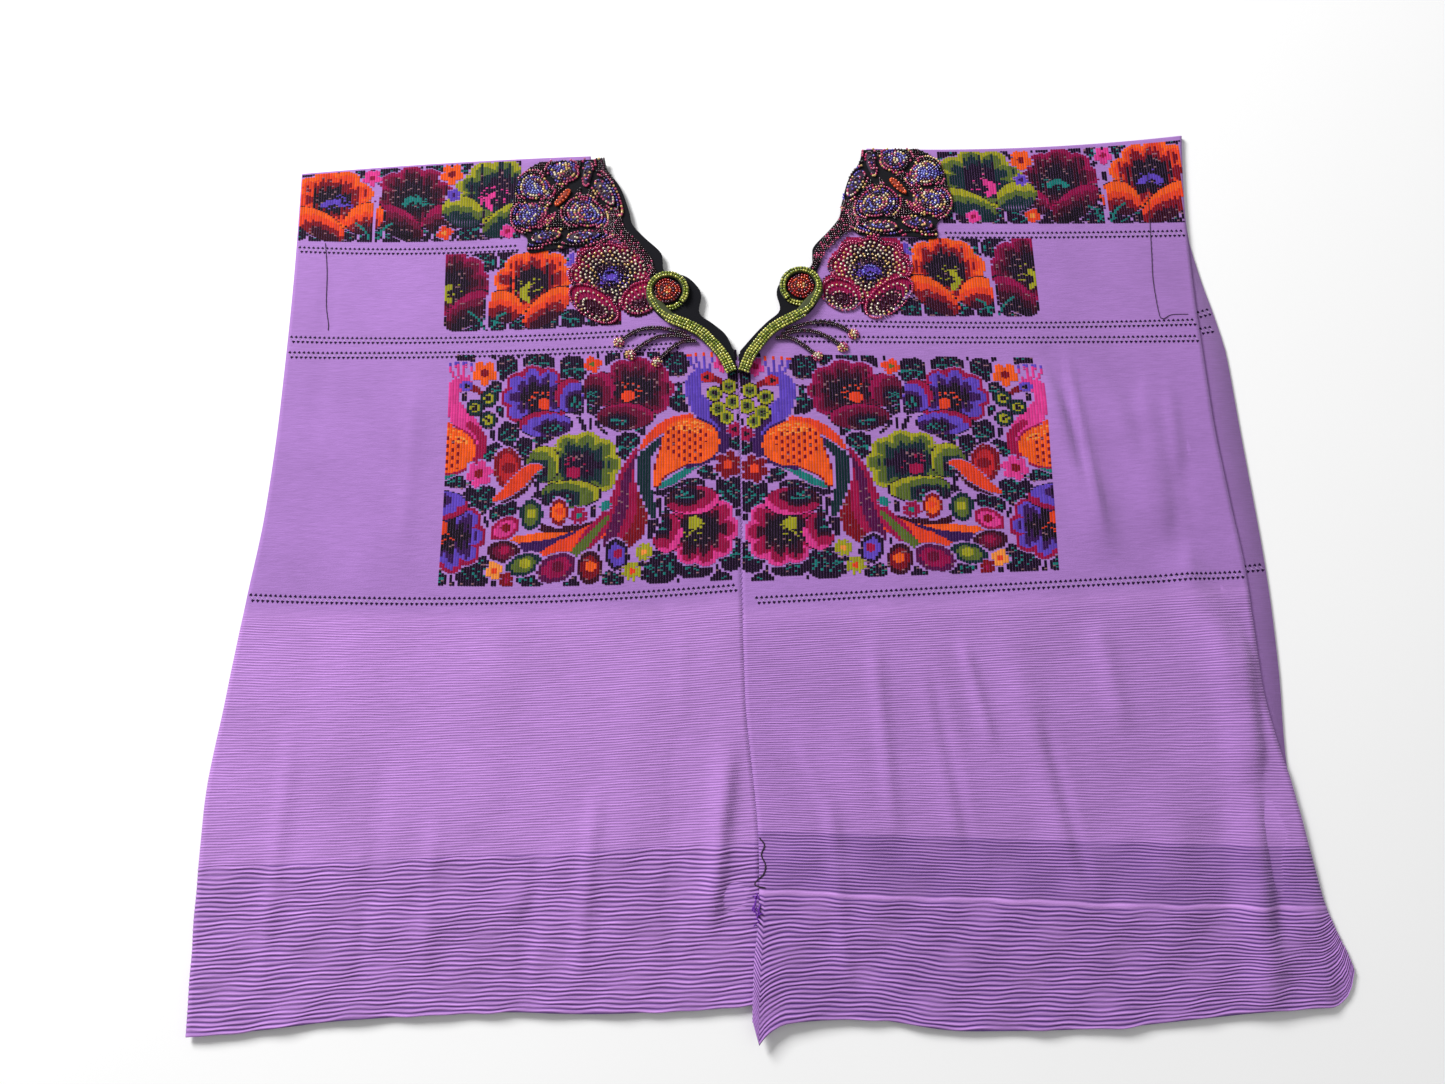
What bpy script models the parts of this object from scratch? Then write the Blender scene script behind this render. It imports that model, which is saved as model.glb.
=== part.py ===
"""Huipil blouse laid flat on a table, front side up.

Two long lengths of hand-woven cloth, each folded once at the shoulder so that its front half lies on its
back half, are sewn edge to edge down the middle. The neck is cut as a deep V, faced with black velvet and
trimmed with beaded flowers, scrolls and tendrils. Units are millimetres until a mesh is written in metres.
+X is to the right of the picture, +Y runs towards the shoulders, +Z is up and the back lies on Z = 0.
"""

import math
from collections import namedtuple

import bmesh
import bpy
from mathutils import Matrix, Vector

METRE = 0.001

# Cloth thickness and how the layers lie on each other
CLOTH = 1.5
LAYER_GAP = 0.6
TOUCH = 0.3
FRONT_UNDER = CLOTH + LAYER_GAP
FRONT_TOP = FRONT_UNDER + CLOTH
FOLD_STEPS = 4

# The middle line of the neck, which the left and right trims mirror about
MIDDLE_X = -7.0

# Ribs woven into the cloth above the hem: heavy ones at the hem, and on the right closer ones over them
HEAVY_PITCH = 3.3
HEAVY_HEIGHT = 0.9
CLOSE_PITCH = 2.9
CLOSE_HEIGHT = 0.6
CLOSE_BAND = {"left": 0.0, "right": 45.0}
# The back's hem stops short of the front's, which hides it
BACK_SHORT = 8.0
# Faces that turn less than this from their neighbour are joined: outside, and on the plain inside
FLAT_ANGLE = math.radians(0.4)
FLAT_INNER_ANGLE = math.radians(2)

# Trim
FACING_THICK = 1.0
CUT_BACK = 4.0
SCROLL_STEM_RADIUS = 5.0
SCROLL_RING_RADIUS = 3.0
SCROLL_FLATNESS = 0.36
SCROLL_SMOOTHNESS = 2
RING_CENTRE = (60.0, 244.0)
RING_RADIUS = 16.5
ROSETTE_RADIUS = 11.0
ROSETTE_HEIGHT = 3.4
TENDRIL_RADIUS = 1.2
TENDRIL_FLATNESS = 0.8
TENDRIL_SMOOTHNESS = 1
CLUSTER_RADIUS = 4.2
CLUSTER_HEIGHT = 2.6
PETAL_HEIGHT = 2.2

# A weft line across a panel: how far down the cloth it is from the shoulder, and its Y at the side edge,
# at the middle of the panel and at the centre seam
WeftLine = namedtuple("WeftLine", "name drop side middle seam")
LEFT_LINES = (
    WeftLine("shoulder", 0, 377, 383, 385),
    WeftLine("openwork under the shoulder band", 88, 300, 293, 299),
    WeftLine("upper openwork over the field", 180, 211, 204, 208),
    WeftLine("lower openwork over the field", 195, 196, 190, 193),
    WeftLine("openwork under the field", 416, -24, -34, -30),
    WeftLine("start of the heavy ribs", 625, -242, -241, -238),
    WeftLine("hem", 743, -365, -358, -357),
)
RIGHT_LINES = (
    WeftLine("shoulder", 0, 385, 378, 383),
    WeftLine("openwork under the shoulder band", 88, 285, 289, 297),
    WeftLine("upper openwork over the field", 182, 197, 201, 212),
    WeftLine("lower openwork over the field", 197, 181, 187, 196),
    WeftLine("openwork under the field", 420, -34, -38, -42),
    WeftLine("start of the heavy ribs", 670, -300, -288, -272),
    WeftLine("hem", 764, -377, -381, -372),
)

# The hem's wavy line: share of the way across from the side edge to the seam, and Y
HemPoint = namedtuple("HemPoint", "across y")
LEFT_HEM = (
    HemPoint(0.00, -367),
    HemPoint(0.09, -366),
    HemPoint(0.30, -361),
    HemPoint(0.55, -360),
    HemPoint(0.71, -363),
    HemPoint(0.87, -362),
    HemPoint(1.00, -358),
)
RIGHT_HEM = (
    HemPoint(0.000, -349),
    HemPoint(0.015, -366),
    HemPoint(0.043, -373),
    HemPoint(0.130, -372),
    HemPoint(0.270, -374),
    HemPoint(0.430, -377),
    HemPoint(0.650, -376),
    HemPoint(0.820, -367),
    HemPoint(0.940, -370),
    HemPoint(0.978, -379),
    HemPoint(0.993, -386.6),
    HemPoint(1.000, -370),
)

# Edges that run up the cloth: X at a given Y
EdgePoint = namedtuple("EdgePoint", "y x")
LEFT_SIDE = (
    EdgePoint(400, -406),
    EdgePoint(300, -406.5),
    EdgePoint(150, -411),
    EdgePoint(50, -418),
    EdgePoint(-25, -428.5),
    EdgePoint(-110, -440),
    EdgePoint(-200, -450.5),
    EdgePoint(-260, -451),
    EdgePoint(-400, -450),
)
RIGHT_SIDE = (
    EdgePoint(400, 419),
    EdgePoint(370, 415),
    EdgePoint(285, 408),
    EdgePoint(200, 406),
    EdgePoint(115, 406),
    EdgePoint(30, 410),
    EdgePoint(-35, 414),
    EdgePoint(-123, 413.5),
    EdgePoint(-175, 419),
    EdgePoint(-202, 424),
    EdgePoint(-265, 432),
    EdgePoint(-295, 436),
    EdgePoint(-325, 444),
    EdgePoint(-349, 451),
    EdgePoint(-377, 451),
)
# The right length's back half has slipped outwards, so it shows beside the front half
RIGHT_BACK_SIDE = (
    EdgePoint(400, 419),
    EdgePoint(370, 415),
    EdgePoint(285, 409.5),
    EdgePoint(242, 414.4),
    EdgePoint(202, 422),
    EdgePoint(163, 427.4),
    EdgePoint(100, 428.8),
    EdgePoint(-37, 432),
    EdgePoint(-108, 430),
    EdgePoint(-190, 424),
    EdgePoint(-400, 421),
)
CENTRE_SEAM = (
    EdgePoint(200, -7),
    EdgePoint(168, -6),
    EdgePoint(47, -8),
    EdgePoint(-40, -11),
    EdgePoint(-119, -11.5),
    EdgePoint(-205, -6.5),
    EdgePoint(-235, -5),
    EdgePoint(-273, -6),
    EdgePoint(-303, -9),
    EdgePoint(-334, -13),
    EdgePoint(-400, -17),
)
# Under the seam's end the front is open, and the right edge laps over the left one
SEAM_END_Y = -233.0
LAP = 5.0
LAP_LIFT = 3.0
LAP_RUN = 24.0
LAP_SPREAD = 42.0
LAPPED_WIDTH = 28.0

# The neck's cut edge, from the shoulder to the point of the V: Y, and distance from the middle line
NeckPoint = namedtuple("NeckPoint", "y out")
NECK_EDGE = (
    NeckPoint(388, 126),
    NeckPoint(369, 122),
    NeckPoint(352, 111),
    NeckPoint(327, 103),
    NeckPoint(313, 100),
    NeckPoint(300, 90),
    NeckPoint(284, 75),
    NeckPoint(274, 73),
    NeckPoint(264, 71),
    NeckPoint(259, 53),
    NeckPoint(248, 42),
    NeckPoint(238, 39),
    NeckPoint(222, 41),
    NeckPoint(211, 29),
    NeckPoint(200, 18),
    NeckPoint(184, 3),
)
V_POINT_Y = 181.0
# How much further the black facing shows past the neck's edge on each side, reached over a run above the V
FACING_SHOWS = {"left": 9.0, "right": 1.0}
FACING_RUN = 20.0
FACING_TOP_Y = 382.0

# The facing's hidden side, from the point of the V out round the scroll and the flower: distance out, and Y
TrimPoint = namedtuple("TrimPoint", "out y")
FACING_INNER = (
    TrimPoint(0.3, 163),
    TrimPoint(9, 167),
    TrimPoint(20, 184),
    TrimPoint(32, 198),
    TrimPoint(44, 206),
    TrimPoint(57, 212),
    TrimPoint(69, 221),
    TrimPoint(76.5, 233),
    TrimPoint(78.5, 245),
    TrimPoint(75.5, 258),
    TrimPoint(79, 266),
    TrimPoint(84, 279),
    TrimPoint(96, 291),
    TrimPoint(108, 300),
    TrimPoint(121, 293),
    TrimPoint(160, 291),
    TrimPoint(186, 288),
    TrimPoint(188, 303),
    TrimPoint(201, 314),
    TrimPoint(204, 328),
    TrimPoint(199, 345),
    TrimPoint(197, 362),
    TrimPoint(187, 374),
    TrimPoint(176, 381),
)

# The scroll's stem, which ends in a ring round the rosette
SCROLL_STEM = (
    TrimPoint(5.6, 164),
    TrimPoint(11.5, 178),
    TrimPoint(21, 191),
    TrimPoint(31, 202),
    TrimPoint(43, 209.5),
    TrimPoint(56, 216),
    TrimPoint(67, 223.5),
)
RING_START = math.radians(-55)
RING_SWEEP = math.radians(275)
RING_STEPS = 16
STEM_STEPS = 9
STEM_NARROWS_OVER = 4

# Three tendrils on each side, from the scroll outwards
TENDRILS = (
    (TrimPoint(45, 202), TrimPoint(60, 207), TrimPoint(76, 209), TrimPoint(90, 206), TrimPoint(101, 199)),
    (TrimPoint(41, 198.5), TrimPoint(56, 201), TrimPoint(70, 200), TrimPoint(82, 194), TrimPoint(91, 187)),
    (TrimPoint(36, 195), TrimPoint(48, 194.5), TrimPoint(58, 188.5), TrimPoint(68, 179.5)),
)
TENDRIL_POINTS = 8
CLUSTER_REACH = CLUSTER_RADIUS + TOUCH
CURVE_STEPS = 8

# The big beaded flower: where each petal's pad lies, its size, and how far it is turned from straight out
Petal = namedtuple("Petal", "out y length width turn")
PETALS = (
    Petal(153, 368, 26, 20, 5),
    Petal(180, 354, 27, 24, 15),
    Petal(182, 325, 30, 24, -15),
    Petal(134, 325, 34, 26, 30),
    Petal(116, 346, 32, 12, 60),
    Petal(132, 366, 25, 9, 98),
    Petal(170, 303, 28, 11, -10),
    Petal(136, 302, 31, 11, -6),
    Petal(155, 342, 22, 6, 130),
)
PETAL_TAPER = 0.15
DOME_SEGMENTS = 12
DOME_RINGS = 6

# Folds in the front halves: a soft ridge along a line, as wide and as high as given
Fold = namedtuple("Fold", "x0 y0 x1 y1 width height")
LEFT_FOLDS = (
    Fold(-26, -130, -50, -330, 10, 3.0),
    Fold(-92, -60, -118, -300, 22, 1.8),
    Fold(-215, -40, -228, -270, 26, 1.6),
    Fold(-330, 60, -352, -220, 30, 1.4),
    Fold(-160, -270, -330, -300, 14, 1.4),
)
RIGHT_FOLDS = (
    Fold(262, 168, 303, -30, 15, 5.0),
    Fold(336, 150, 352, -10, 20, 4.0),
    Fold(352, 0, 398, -150, 17, 5.0),
    Fold(404, -70, 398, -215, 13, 5.5),
    Fold(400, -190, 376, -400, 14, 6.0),
    Fold(140, -70, 162, -270, 12, 2.6),
    Fold(203, -60, 262, -330, 15, 3.4),
    Fold(66, -120, 92, -330, 20, 2.2),
    Fold(330, -180, 318, -350, 22, 2.4),
)
FOLD_TAPER = 0.28

# Small puckers that grow towards the hem
PUCKER_HEIGHT = 1.3
PUCKER_X = 58.0
PUCKER_Y = 47.0
PUCKER_START_Y = -170.0
PUCKER_FULL_Y = -290.0

# Past the back's edge the right front's corner comes down to the table
DROOP_START_X = 425.0
DROOP_END_X = 440.0
DROOP = FRONT_UNDER

# Where the mesh has its columns, as shares of the way across from the side edge to the seam
LEFT_ACROSS = (0, 0.05, 0.13, 0.22, 0.31, 0.40, 0.49, 0.59, 0.69, 0.79, 0.87, 0.94, 1)
RIGHT_ACROSS = (
    0, 0.015, 0.043, 0.08, 0.12, 0.16, 0.21, 0.26, 0.31, 0.36, 0.42, 0.48, 0.55, 0.63, 0.72, 0.82, 0.91,
    0.978, 0.993, 1,
)
# How many rows the mesh has down the cloth, and how far down the neck reaches
NECK_DROP = 208.0
NECK_ROWS = 16
YOKE_ROWS = 9
MIDDLE_ROWS = 14
BACK_DROPS = (0, 12, 30, 48, 60, 74, 88, 102, 112, 124, 134, 146, 158, 170, 180, 188, 196, 204, 260, 330, 440)


def smooth(share):
    """0 below 0, 1 above 1, and a soft step in between."""
    share = min(1.0, max(0.0, share))
    return share * share * (3 - 2 * share)


def read_table(rows, inward, outward, at):
    """The outward column's value where the inward column has the value at, with soft bends at the rows."""
    rows = sorted(rows, key=lambda row: getattr(row, inward))
    keys = [getattr(row, inward) for row in rows]
    values = [getattr(row, outward) for row in rows]
    at = min(keys[-1], max(keys[0], at))
    i = max(k for k in range(len(keys) - 1) if keys[k] <= at)
    slopes = [(values[k + 1] - values[k]) / (keys[k + 1] - keys[k]) for k in range(len(keys) - 1)]

    def tangent(k):
        if k in (0, len(keys) - 1):
            return slopes[min(k, len(slopes) - 1)]
        before, after = slopes[k - 1], slopes[k]
        return 0.0 if before * after <= 0 else 2 * before * after / (before + after)

    step = keys[i + 1] - keys[i]
    t = (at - keys[i]) / step
    return (
        (2 * t**3 - 3 * t**2 + 1) * values[i]
        + (t**3 - 2 * t**2 + t) * step * tangent(i)
        + (3 * t**2 - 2 * t**3) * values[i + 1]
        + (t**3 - t**2) * step * tangent(i + 1)
    )


def sided(side, out):
    """X of a point this far out from the middle line, on this side of it."""
    return MIDDLE_X + (out if side == "right" else -out)


def inner_edge_x(side, y, seam):
    """X of a half's inner edge: the neck's cut above the V, and half a gap off the seam below it."""
    half_gap = TOUCH / 2 if side == "right" else -TOUCH / 2
    if y <= V_POINT_Y:
        return seam + half_gap
    return sided(side, read_table(NECK_EDGE, "y", "out", y) + CUT_BACK)


def front_seam_x(side, y):
    """X of the front's centre seam. Past its end the left half reaches on, under the right one."""
    under = LAP * smooth((SEAM_END_Y - LAP_RUN - y) / LAP_RUN) if side == "left" else 0.0
    return read_table(CENTRE_SEAM, "y", "x", y) + under


def weft_y(lines, hem, across, drop):
    """Y of the weft that lies this far down the cloth, at this share of the way across."""
    side, middle, seam = (read_table(lines, "drop", name, drop) for name in ("side", "middle", "seam"))
    bend = 2 * (side + seam - 2 * middle)
    y = side + (seam - side - bend) * across + bend * across**2
    ribs, end = lines[-2].drop, lines[-1].drop
    if drop <= ribs:
        return y
    to_hem = (drop - ribs) / (end - ribs)
    plain_end = lines[-1].side + (lines[-1].seam - lines[-1].side) * across
    return y + (read_table(hem, "across", "y", across) - plain_end) * to_hem


def fold_lift(folds, x, y):
    """How far the folds raise the cloth at a place."""
    lift = 0.0
    for fold in folds:
        line = Vector((fold.x1 - fold.x0, fold.y1 - fold.y0))
        place = Vector((x - fold.x0, y - fold.y0))
        along = place.dot(line) / line.length_squared
        aside = (place - line * along).length
        ends = smooth(along / FOLD_TAPER) * smooth((1 - along) / FOLD_TAPER)
        lift += fold.height * ends * math.exp(-((aside / fold.width) ** 2))
    return lift


def front_lift(side, x, y):
    """How far a front half's cloth lies above flat: folds, puckers, the lap and the drooping corner."""
    lift = fold_lift(LEFT_FOLDS if side == "left" else RIGHT_FOLDS, x, y)
    growth = smooth((PUCKER_START_Y - y) / (PUCKER_START_Y - PUCKER_FULL_Y))
    across = math.sin(2 * math.pi * x / PUCKER_X + y / PUCKER_Y)
    along = math.sin(2 * math.pi * y / PUCKER_Y - x / PUCKER_X)
    lift += PUCKER_HEIGHT * growth * (1 + across * along) / 2
    if side == "right":
        near_seam = math.exp(-(((x - MIDDLE_X) / LAP_SPREAD) ** 2))
        lift += LAP_LIFT * smooth((SEAM_END_Y - y) / LAP_RUN) * near_seam
        lift -= (DROOP + lift) * smooth((x - DROOP_START_X) / (DROOP_END_X - DROOP_START_X))
    else:
        # The left front stays low where the right front laps over it
        low = smooth((SEAM_END_Y - y + LAP_RUN) / LAP_RUN) * smooth(1 - (MIDDLE_X - x) / LAPPED_WIDTH)
        lift *= 1 - low
    return lift


def spread(first, last, steps):
    """The values from first to last in equal steps, with both ends."""
    return [first + (last - first) * k / steps for k in range(steps + 1)]


def rib_rows(first, last, pitch, height):
    """Two rows a rib, one in the groove and one on the top."""
    count = round((last - first) / pitch)
    return [("front", drop, height * (k % 2)) for k, drop in enumerate(spread(first, last, 2 * count))]


def stations(side, lines):
    """A panel's rows from the front hem over the shoulder to the back hem, as (layer, drop, extra).

    extra is the rib's height on the front layer and the angle on the fold.
    """
    openwork, heavy, hem = lines[-3].drop, lines[-2].drop, lines[-1].drop
    close = heavy - CLOSE_BAND[side]
    plain = spread(0, NECK_DROP, NECK_ROWS)[:-1]
    plain += spread(NECK_DROP, openwork, YOKE_ROWS)[:-1]
    plain += spread(openwork, close, MIDDLE_ROWS)[:-1]
    front = [("front", drop, 0.0) for drop in plain]
    if close < heavy:
        front += rib_rows(close, heavy, CLOSE_PITCH, CLOSE_HEIGHT)[:-1]
    front += rib_rows(heavy, hem, HEAVY_PITCH, HEAVY_HEIGHT)
    fold = [("fold", 0, math.pi * k / FOLD_STEPS) for k in range(1, FOLD_STEPS)]
    back = [("back", drop, 0.0) for drop in (*BACK_DROPS, heavy, hem)]
    return front[::-1] + fold + back


def panel(side, across_list, lines, hem, front_side, back_side):
    """One length of cloth, front half, shoulder fold and back half in one wall."""
    rows = stations(side, lines)
    back_hem_y = max(lines[-1].side, lines[-1].seam) + BACK_SHORT

    def place(across, row, outer):
        layer, drop, extra = row
        y = weft_y(lines, hem, across, drop)
        side_y = weft_y(lines, hem, 0, drop)
        inner_y = weft_y(lines, hem, 1, drop)
        if layer == "back":
            y = max(y, back_hem_y)
            side_x = read_table(back_side, "y", "x", side_y)
            inner_x = inner_edge_x(side, inner_y, MIDDLE_X)
        else:
            side_x = read_table(front_side, "y", "x", side_y)
            inner_x = inner_edge_x(side, inner_y, front_seam_x(side, inner_y))
        x = side_x + (inner_x - side_x) * across
        if layer == "front":
            lift = front_lift(side, x, y)
            return Vector((x, y, FRONT_TOP + lift + extra if outer else FRONT_UNDER + lift))
        if layer == "fold":
            radius = FRONT_TOP / 2 if outer else LAYER_GAP / 2
            return Vector((x, y + radius * math.sin(extra), FRONT_TOP / 2 + radius * math.cos(extra)))
        return Vector((x, y, 0.0 if outer else CLOTH))

    mesh = bmesh.new()
    bmesh.ops.create_grid(mesh, x_segments=len(across_list) - 1, y_segments=len(rows) - 1, size=1)
    inner = list(mesh.verts)
    made = bmesh.ops.extrude_face_region(mesh, geom=mesh.faces[:], use_keep_orig=True)
    outer = [item for item in made["geom"] if isinstance(item, bmesh.types.BMVert)]
    for verts, is_outer in ((inner, False), (outer, True)):
        for vert in verts:
            across = across_list[round((vert.co.x + 1) / 2 * (len(across_list) - 1))]
            row = rows[round((vert.co.y + 1) / 2 * (len(rows) - 1))]
            vert.co = place(across, row, is_outer) * METRE
    bmesh.ops.recalc_face_normals(mesh, faces=mesh.faces[:])
    # Flat stretches need no rows or columns of their own, and the inside has no ribs
    inside = set(inner)
    inner_edges = [edge for edge in mesh.edges if set(edge.verts) <= inside]
    bmesh.ops.dissolve_limit(mesh, angle_limit=FLAT_INNER_ANGLE, verts=inner, edges=inner_edges)
    bmesh.ops.dissolve_limit(mesh, angle_limit=FLAT_ANGLE, verts=mesh.verts[:], edges=mesh.edges[:])
    bmesh.ops.triangulate(mesh, faces=mesh.faces[:])
    solid(f"panel_{side}", mesh, CLOTH_PURPLE)


def material(name, colour, roughness, metallic=0.0):
    """A plain finish in the colour of the photographed piece."""
    made = bpy.data.materials.new(name)
    made.use_nodes = True
    shader = made.node_tree.nodes["Principled BSDF"]
    shader.inputs["Base Color"].default_value = (*colour, 1)
    shader.inputs["Roughness"].default_value = roughness
    shader.inputs["Metallic"].default_value = metallic
    return made


def solid(name, mesh, finish):
    """Writes a bmesh to a named object in the blouse's collection."""
    data = bpy.data.meshes.new(name)
    mesh.to_mesh(data)
    mesh.free()
    data.materials.append(finish)
    BLOUSE.objects.link(bpy.data.objects.new(name, data))


def facing(side):
    """The black velvet piece behind the neck's trim: an outline filled flat, on the front's cloth."""
    shows = FACING_SHOWS[side]
    edge = []
    for point in NECK_EDGE:
        y = min(point.y, FACING_TOP_Y)
        out = read_table(NECK_EDGE, "y", "out", y) - shows * smooth((y - V_POINT_Y) / FACING_RUN)
        edge.append((sided(side, max(out, TOUCH)), y))
    inner = [(sided(side, point.out), point.y) for point in FACING_INNER]
    outline = edge + inner
    curve = bpy.data.curves.new(f"neck_facing_{side}", "CURVE")
    curve.dimensions = "2D"
    curve.fill_mode = "BOTH"
    curve.extrude = FACING_THICK / 2 * METRE
    spline = curve.splines.new("POLY")
    spline.points.add(len(outline) - 1)
    for point, (x, y) in zip(spline.points, outline):
        point.co = (x * METRE, y * METRE, 0, 1)
    spline.use_cyclic_u = True
    made = bpy.data.objects.new(f"neck_facing_{side}", curve)
    made.location.z = (FRONT_TOP + TOUCH + FACING_THICK / 2) * METRE
    curve.materials.append(VELVET_BLACK)
    BLOUSE.objects.link(made)


def through(points, count):
    """count points evenly along a smooth curve through the given (x, y) points."""
    ends = [points[0] * 2 - points[1], *points, points[-1] * 2 - points[-2]]
    fine = []
    for before, start, stop, after in zip(ends, ends[1:], ends[2:], ends[3:]):
        slope = stop - before
        bend = before * 2 - start * 5 + stop * 4 - after
        twist = start * 3 - before - stop * 3 + after
        for k in range(CURVE_STEPS):
            t = k / CURVE_STEPS
            fine.append((start * 2 + slope * t + bend * t**2 + twist * t**3) / 2)
    fine.append(points[-1])
    lengths = [0.0]
    for a, b in zip(fine, fine[1:]):
        lengths.append(lengths[-1] + (b - a).length)
    found = []
    for k in range(count):
        goal = lengths[-1] * k / (count - 1)
        i = max(j for j in range(len(fine) - 1) if lengths[j] <= goal)
        share = (goal - lengths[i]) / (lengths[i + 1] - lengths[i])
        found.append(fine[i].lerp(fine[i + 1], min(1.0, share)))
    return found


def cord(name, points, radii, flatness, smoothness, base, finish):
    """A flattened round cord along (x, y) points, whose lowest side is at the height base."""
    curve = bpy.data.curves.new(name, "CURVE")
    curve.dimensions = "3D"
    curve.bevel_depth = METRE
    curve.bevel_resolution = smoothness
    curve.use_fill_caps = True
    spline = curve.splines.new("POLY")
    spline.points.add(len(points) - 1)
    for point, (x, y), radius in zip(spline.points, points, radii):
        point.co = (x * METRE, y * METRE, 0, 1)
        point.radius = radius
    made = bpy.data.objects.new(name, curve)
    made.scale.z = flatness
    made.location.z = (base + max(radii) * flatness) * METRE
    curve.materials.append(finish)
    BLOUSE.objects.link(made)


def scroll(side):
    """The beaded scroll that edges the V and curls into a ring."""
    stem = [Vector((sided(side, p.out), p.y)) for p in SCROLL_STEM]
    ring = []
    for k in range(RING_STEPS + 1):
        angle = RING_START + RING_SWEEP * k / RING_STEPS
        out = RING_CENTRE[0] + RING_RADIUS * math.cos(angle)
        ring.append(Vector((sided(side, out), RING_CENTRE[1] + RING_RADIUS * math.sin(angle))))
    points = through(stem, STEM_STEPS + 1)[:-1] + ring
    radii = [SCROLL_STEM_RADIUS] * STEM_STEPS
    for k in range(RING_STEPS + 1):
        narrowing = smooth(k / STEM_NARROWS_OVER)
        radii.append(SCROLL_STEM_RADIUS + (SCROLL_RING_RADIUS - SCROLL_STEM_RADIUS) * narrowing)
    cord(f"scroll_{side}", points, radii, SCROLL_FLATNESS, SCROLL_SMOOTHNESS, TRIM_BASE, BEADS_GREEN)


def dome(name, centre, length, width, height, turn, taper, base, finish):
    """A low bead-covered pad with a flat underside: half a ball, stretched, tapered to one end and turned."""
    mesh = bmesh.new()
    bmesh.ops.create_uvsphere(mesh, u_segments=DOME_SEGMENTS, v_segments=DOME_RINGS, radius=0.5)
    lower_half = [vert for vert in mesh.verts if vert.co.z < -0.01]
    bmesh.ops.delete(mesh, geom=lower_half, context="VERTS")
    bmesh.ops.holes_fill(mesh, edges=[edge for edge in mesh.edges if edge.is_boundary])
    for vert in mesh.verts:
        narrowing = 1 + 2 * taper * vert.co.x
        vert.co = Vector((vert.co.x * length, vert.co.y * width * narrowing, 2 * vert.co.z * height))
    move = Matrix.Translation((*centre, base)) @ Matrix.Rotation(turn, 4, "Z")
    bmesh.ops.transform(mesh, matrix=Matrix.Scale(METRE, 4) @ move, verts=mesh.verts[:])
    bmesh.ops.recalc_face_normals(mesh, faces=mesh.faces[:])
    solid(name, mesh, finish)


def rosette(side):
    """The round bead-covered boss in the scroll's ring."""
    centre = (sided(side, RING_CENTRE[0]), RING_CENTRE[1])
    size = 2 * ROSETTE_RADIUS
    dome(f"rosette_{side}", centre, size, size, ROSETTE_HEIGHT, 0, 0, TRIM_BASE, BEADS_RED)


def petals(side):
    """The big flower's bead-covered petals, on the facing."""
    for number, petal in enumerate(PETALS, 1):
        turn = math.radians(petal.turn if side == "right" else 180 - petal.turn)
        finish = BEADS_ORANGE if number == len(PETALS) else BEADS_VIOLET
        centre = (sided(side, petal.out), petal.y)
        name = f"petal_{side}_{number}" if number < len(PETALS) else f"flower_heart_{side}"
        dome(name, centre, petal.length, petal.width, PETAL_HEIGHT, turn, PETAL_TAPER, TRIM_BASE, finish)


def tendrils(side):
    """The thin stalks that leave the scroll, each with a cluster of beads at its end."""
    for number, route in enumerate(TENDRILS, 1):
        points = [Vector((sided(side, p.out), p.y)) for p in route]
        line = through(points, TENDRIL_POINTS)
        radii = [TENDRIL_RADIUS] * len(line)
        stalk = f"tendril_{side}_{number}"
        cord(stalk, line, radii, TENDRIL_FLATNESS, TENDRIL_SMOOTHNESS, CLOTH_BASE, BEADS_BROWN)
        end = line[-1] + (line[-1] - line[-2]).normalized() * CLUSTER_REACH
        size = 2 * CLUSTER_RADIUS
        dome(f"bead_cluster_{side}_{number}", end, size, size, CLUSTER_HEIGHT, 0, 0, CLOTH_BASE, BEADS_CREAM)


for old in list(bpy.data.objects):
    bpy.data.objects.remove(old)
BLOUSE = bpy.data.collections.new("huipil_blouse")
bpy.context.scene.collection.children.link(BLOUSE)

CLOTH_BASE = FRONT_TOP + TOUCH
TRIM_BASE = CLOTH_BASE + FACING_THICK + TOUCH

CLOTH_PURPLE = material("cloth_purple", (0.42, 0.22, 0.60), 0.85)
VELVET_BLACK = material("velvet_black", (0.012, 0.012, 0.016), 0.9)
BEADS_GREEN = material("beads_green", (0.35, 0.36, 0.09), 0.3)
BEADS_VIOLET = material("beads_violet", (0.12, 0.06, 0.28), 0.3)
BEADS_ORANGE = material("beads_orange", (0.80, 0.16, 0.03), 0.35)
BEADS_RED = material("beads_red", (0.30, 0.02, 0.02), 0.3)
BEADS_BROWN = material("beads_brown", (0.06, 0.03, 0.03), 0.4)
BEADS_CREAM = material("beads_cream", (0.75, 0.55, 0.42), 0.3)

panel("left", LEFT_ACROSS, LEFT_LINES, LEFT_HEM, LEFT_SIDE, LEFT_SIDE)
panel("right", RIGHT_ACROSS, RIGHT_LINES, RIGHT_HEM, RIGHT_SIDE, RIGHT_BACK_SIDE)
for hand in ("left", "right"):
    facing(hand)
    scroll(hand)
    rosette(hand)
    petals(hand)
    tendrils(hand)
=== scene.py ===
"""Looks of the huipil blouse: ribbed and brocaded cloth, openwork, beaded trim, light and camera.

Everything is laid out in millimetres and written in metres. A place on the cloth is told by how far down the
weave it lies from the shoulder (its drop) and by X, or by how far out it lies from the seam in the middle.
"""

import math
from collections import namedtuple

import bpy
import numpy as np
from mathutils import Matrix


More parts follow.
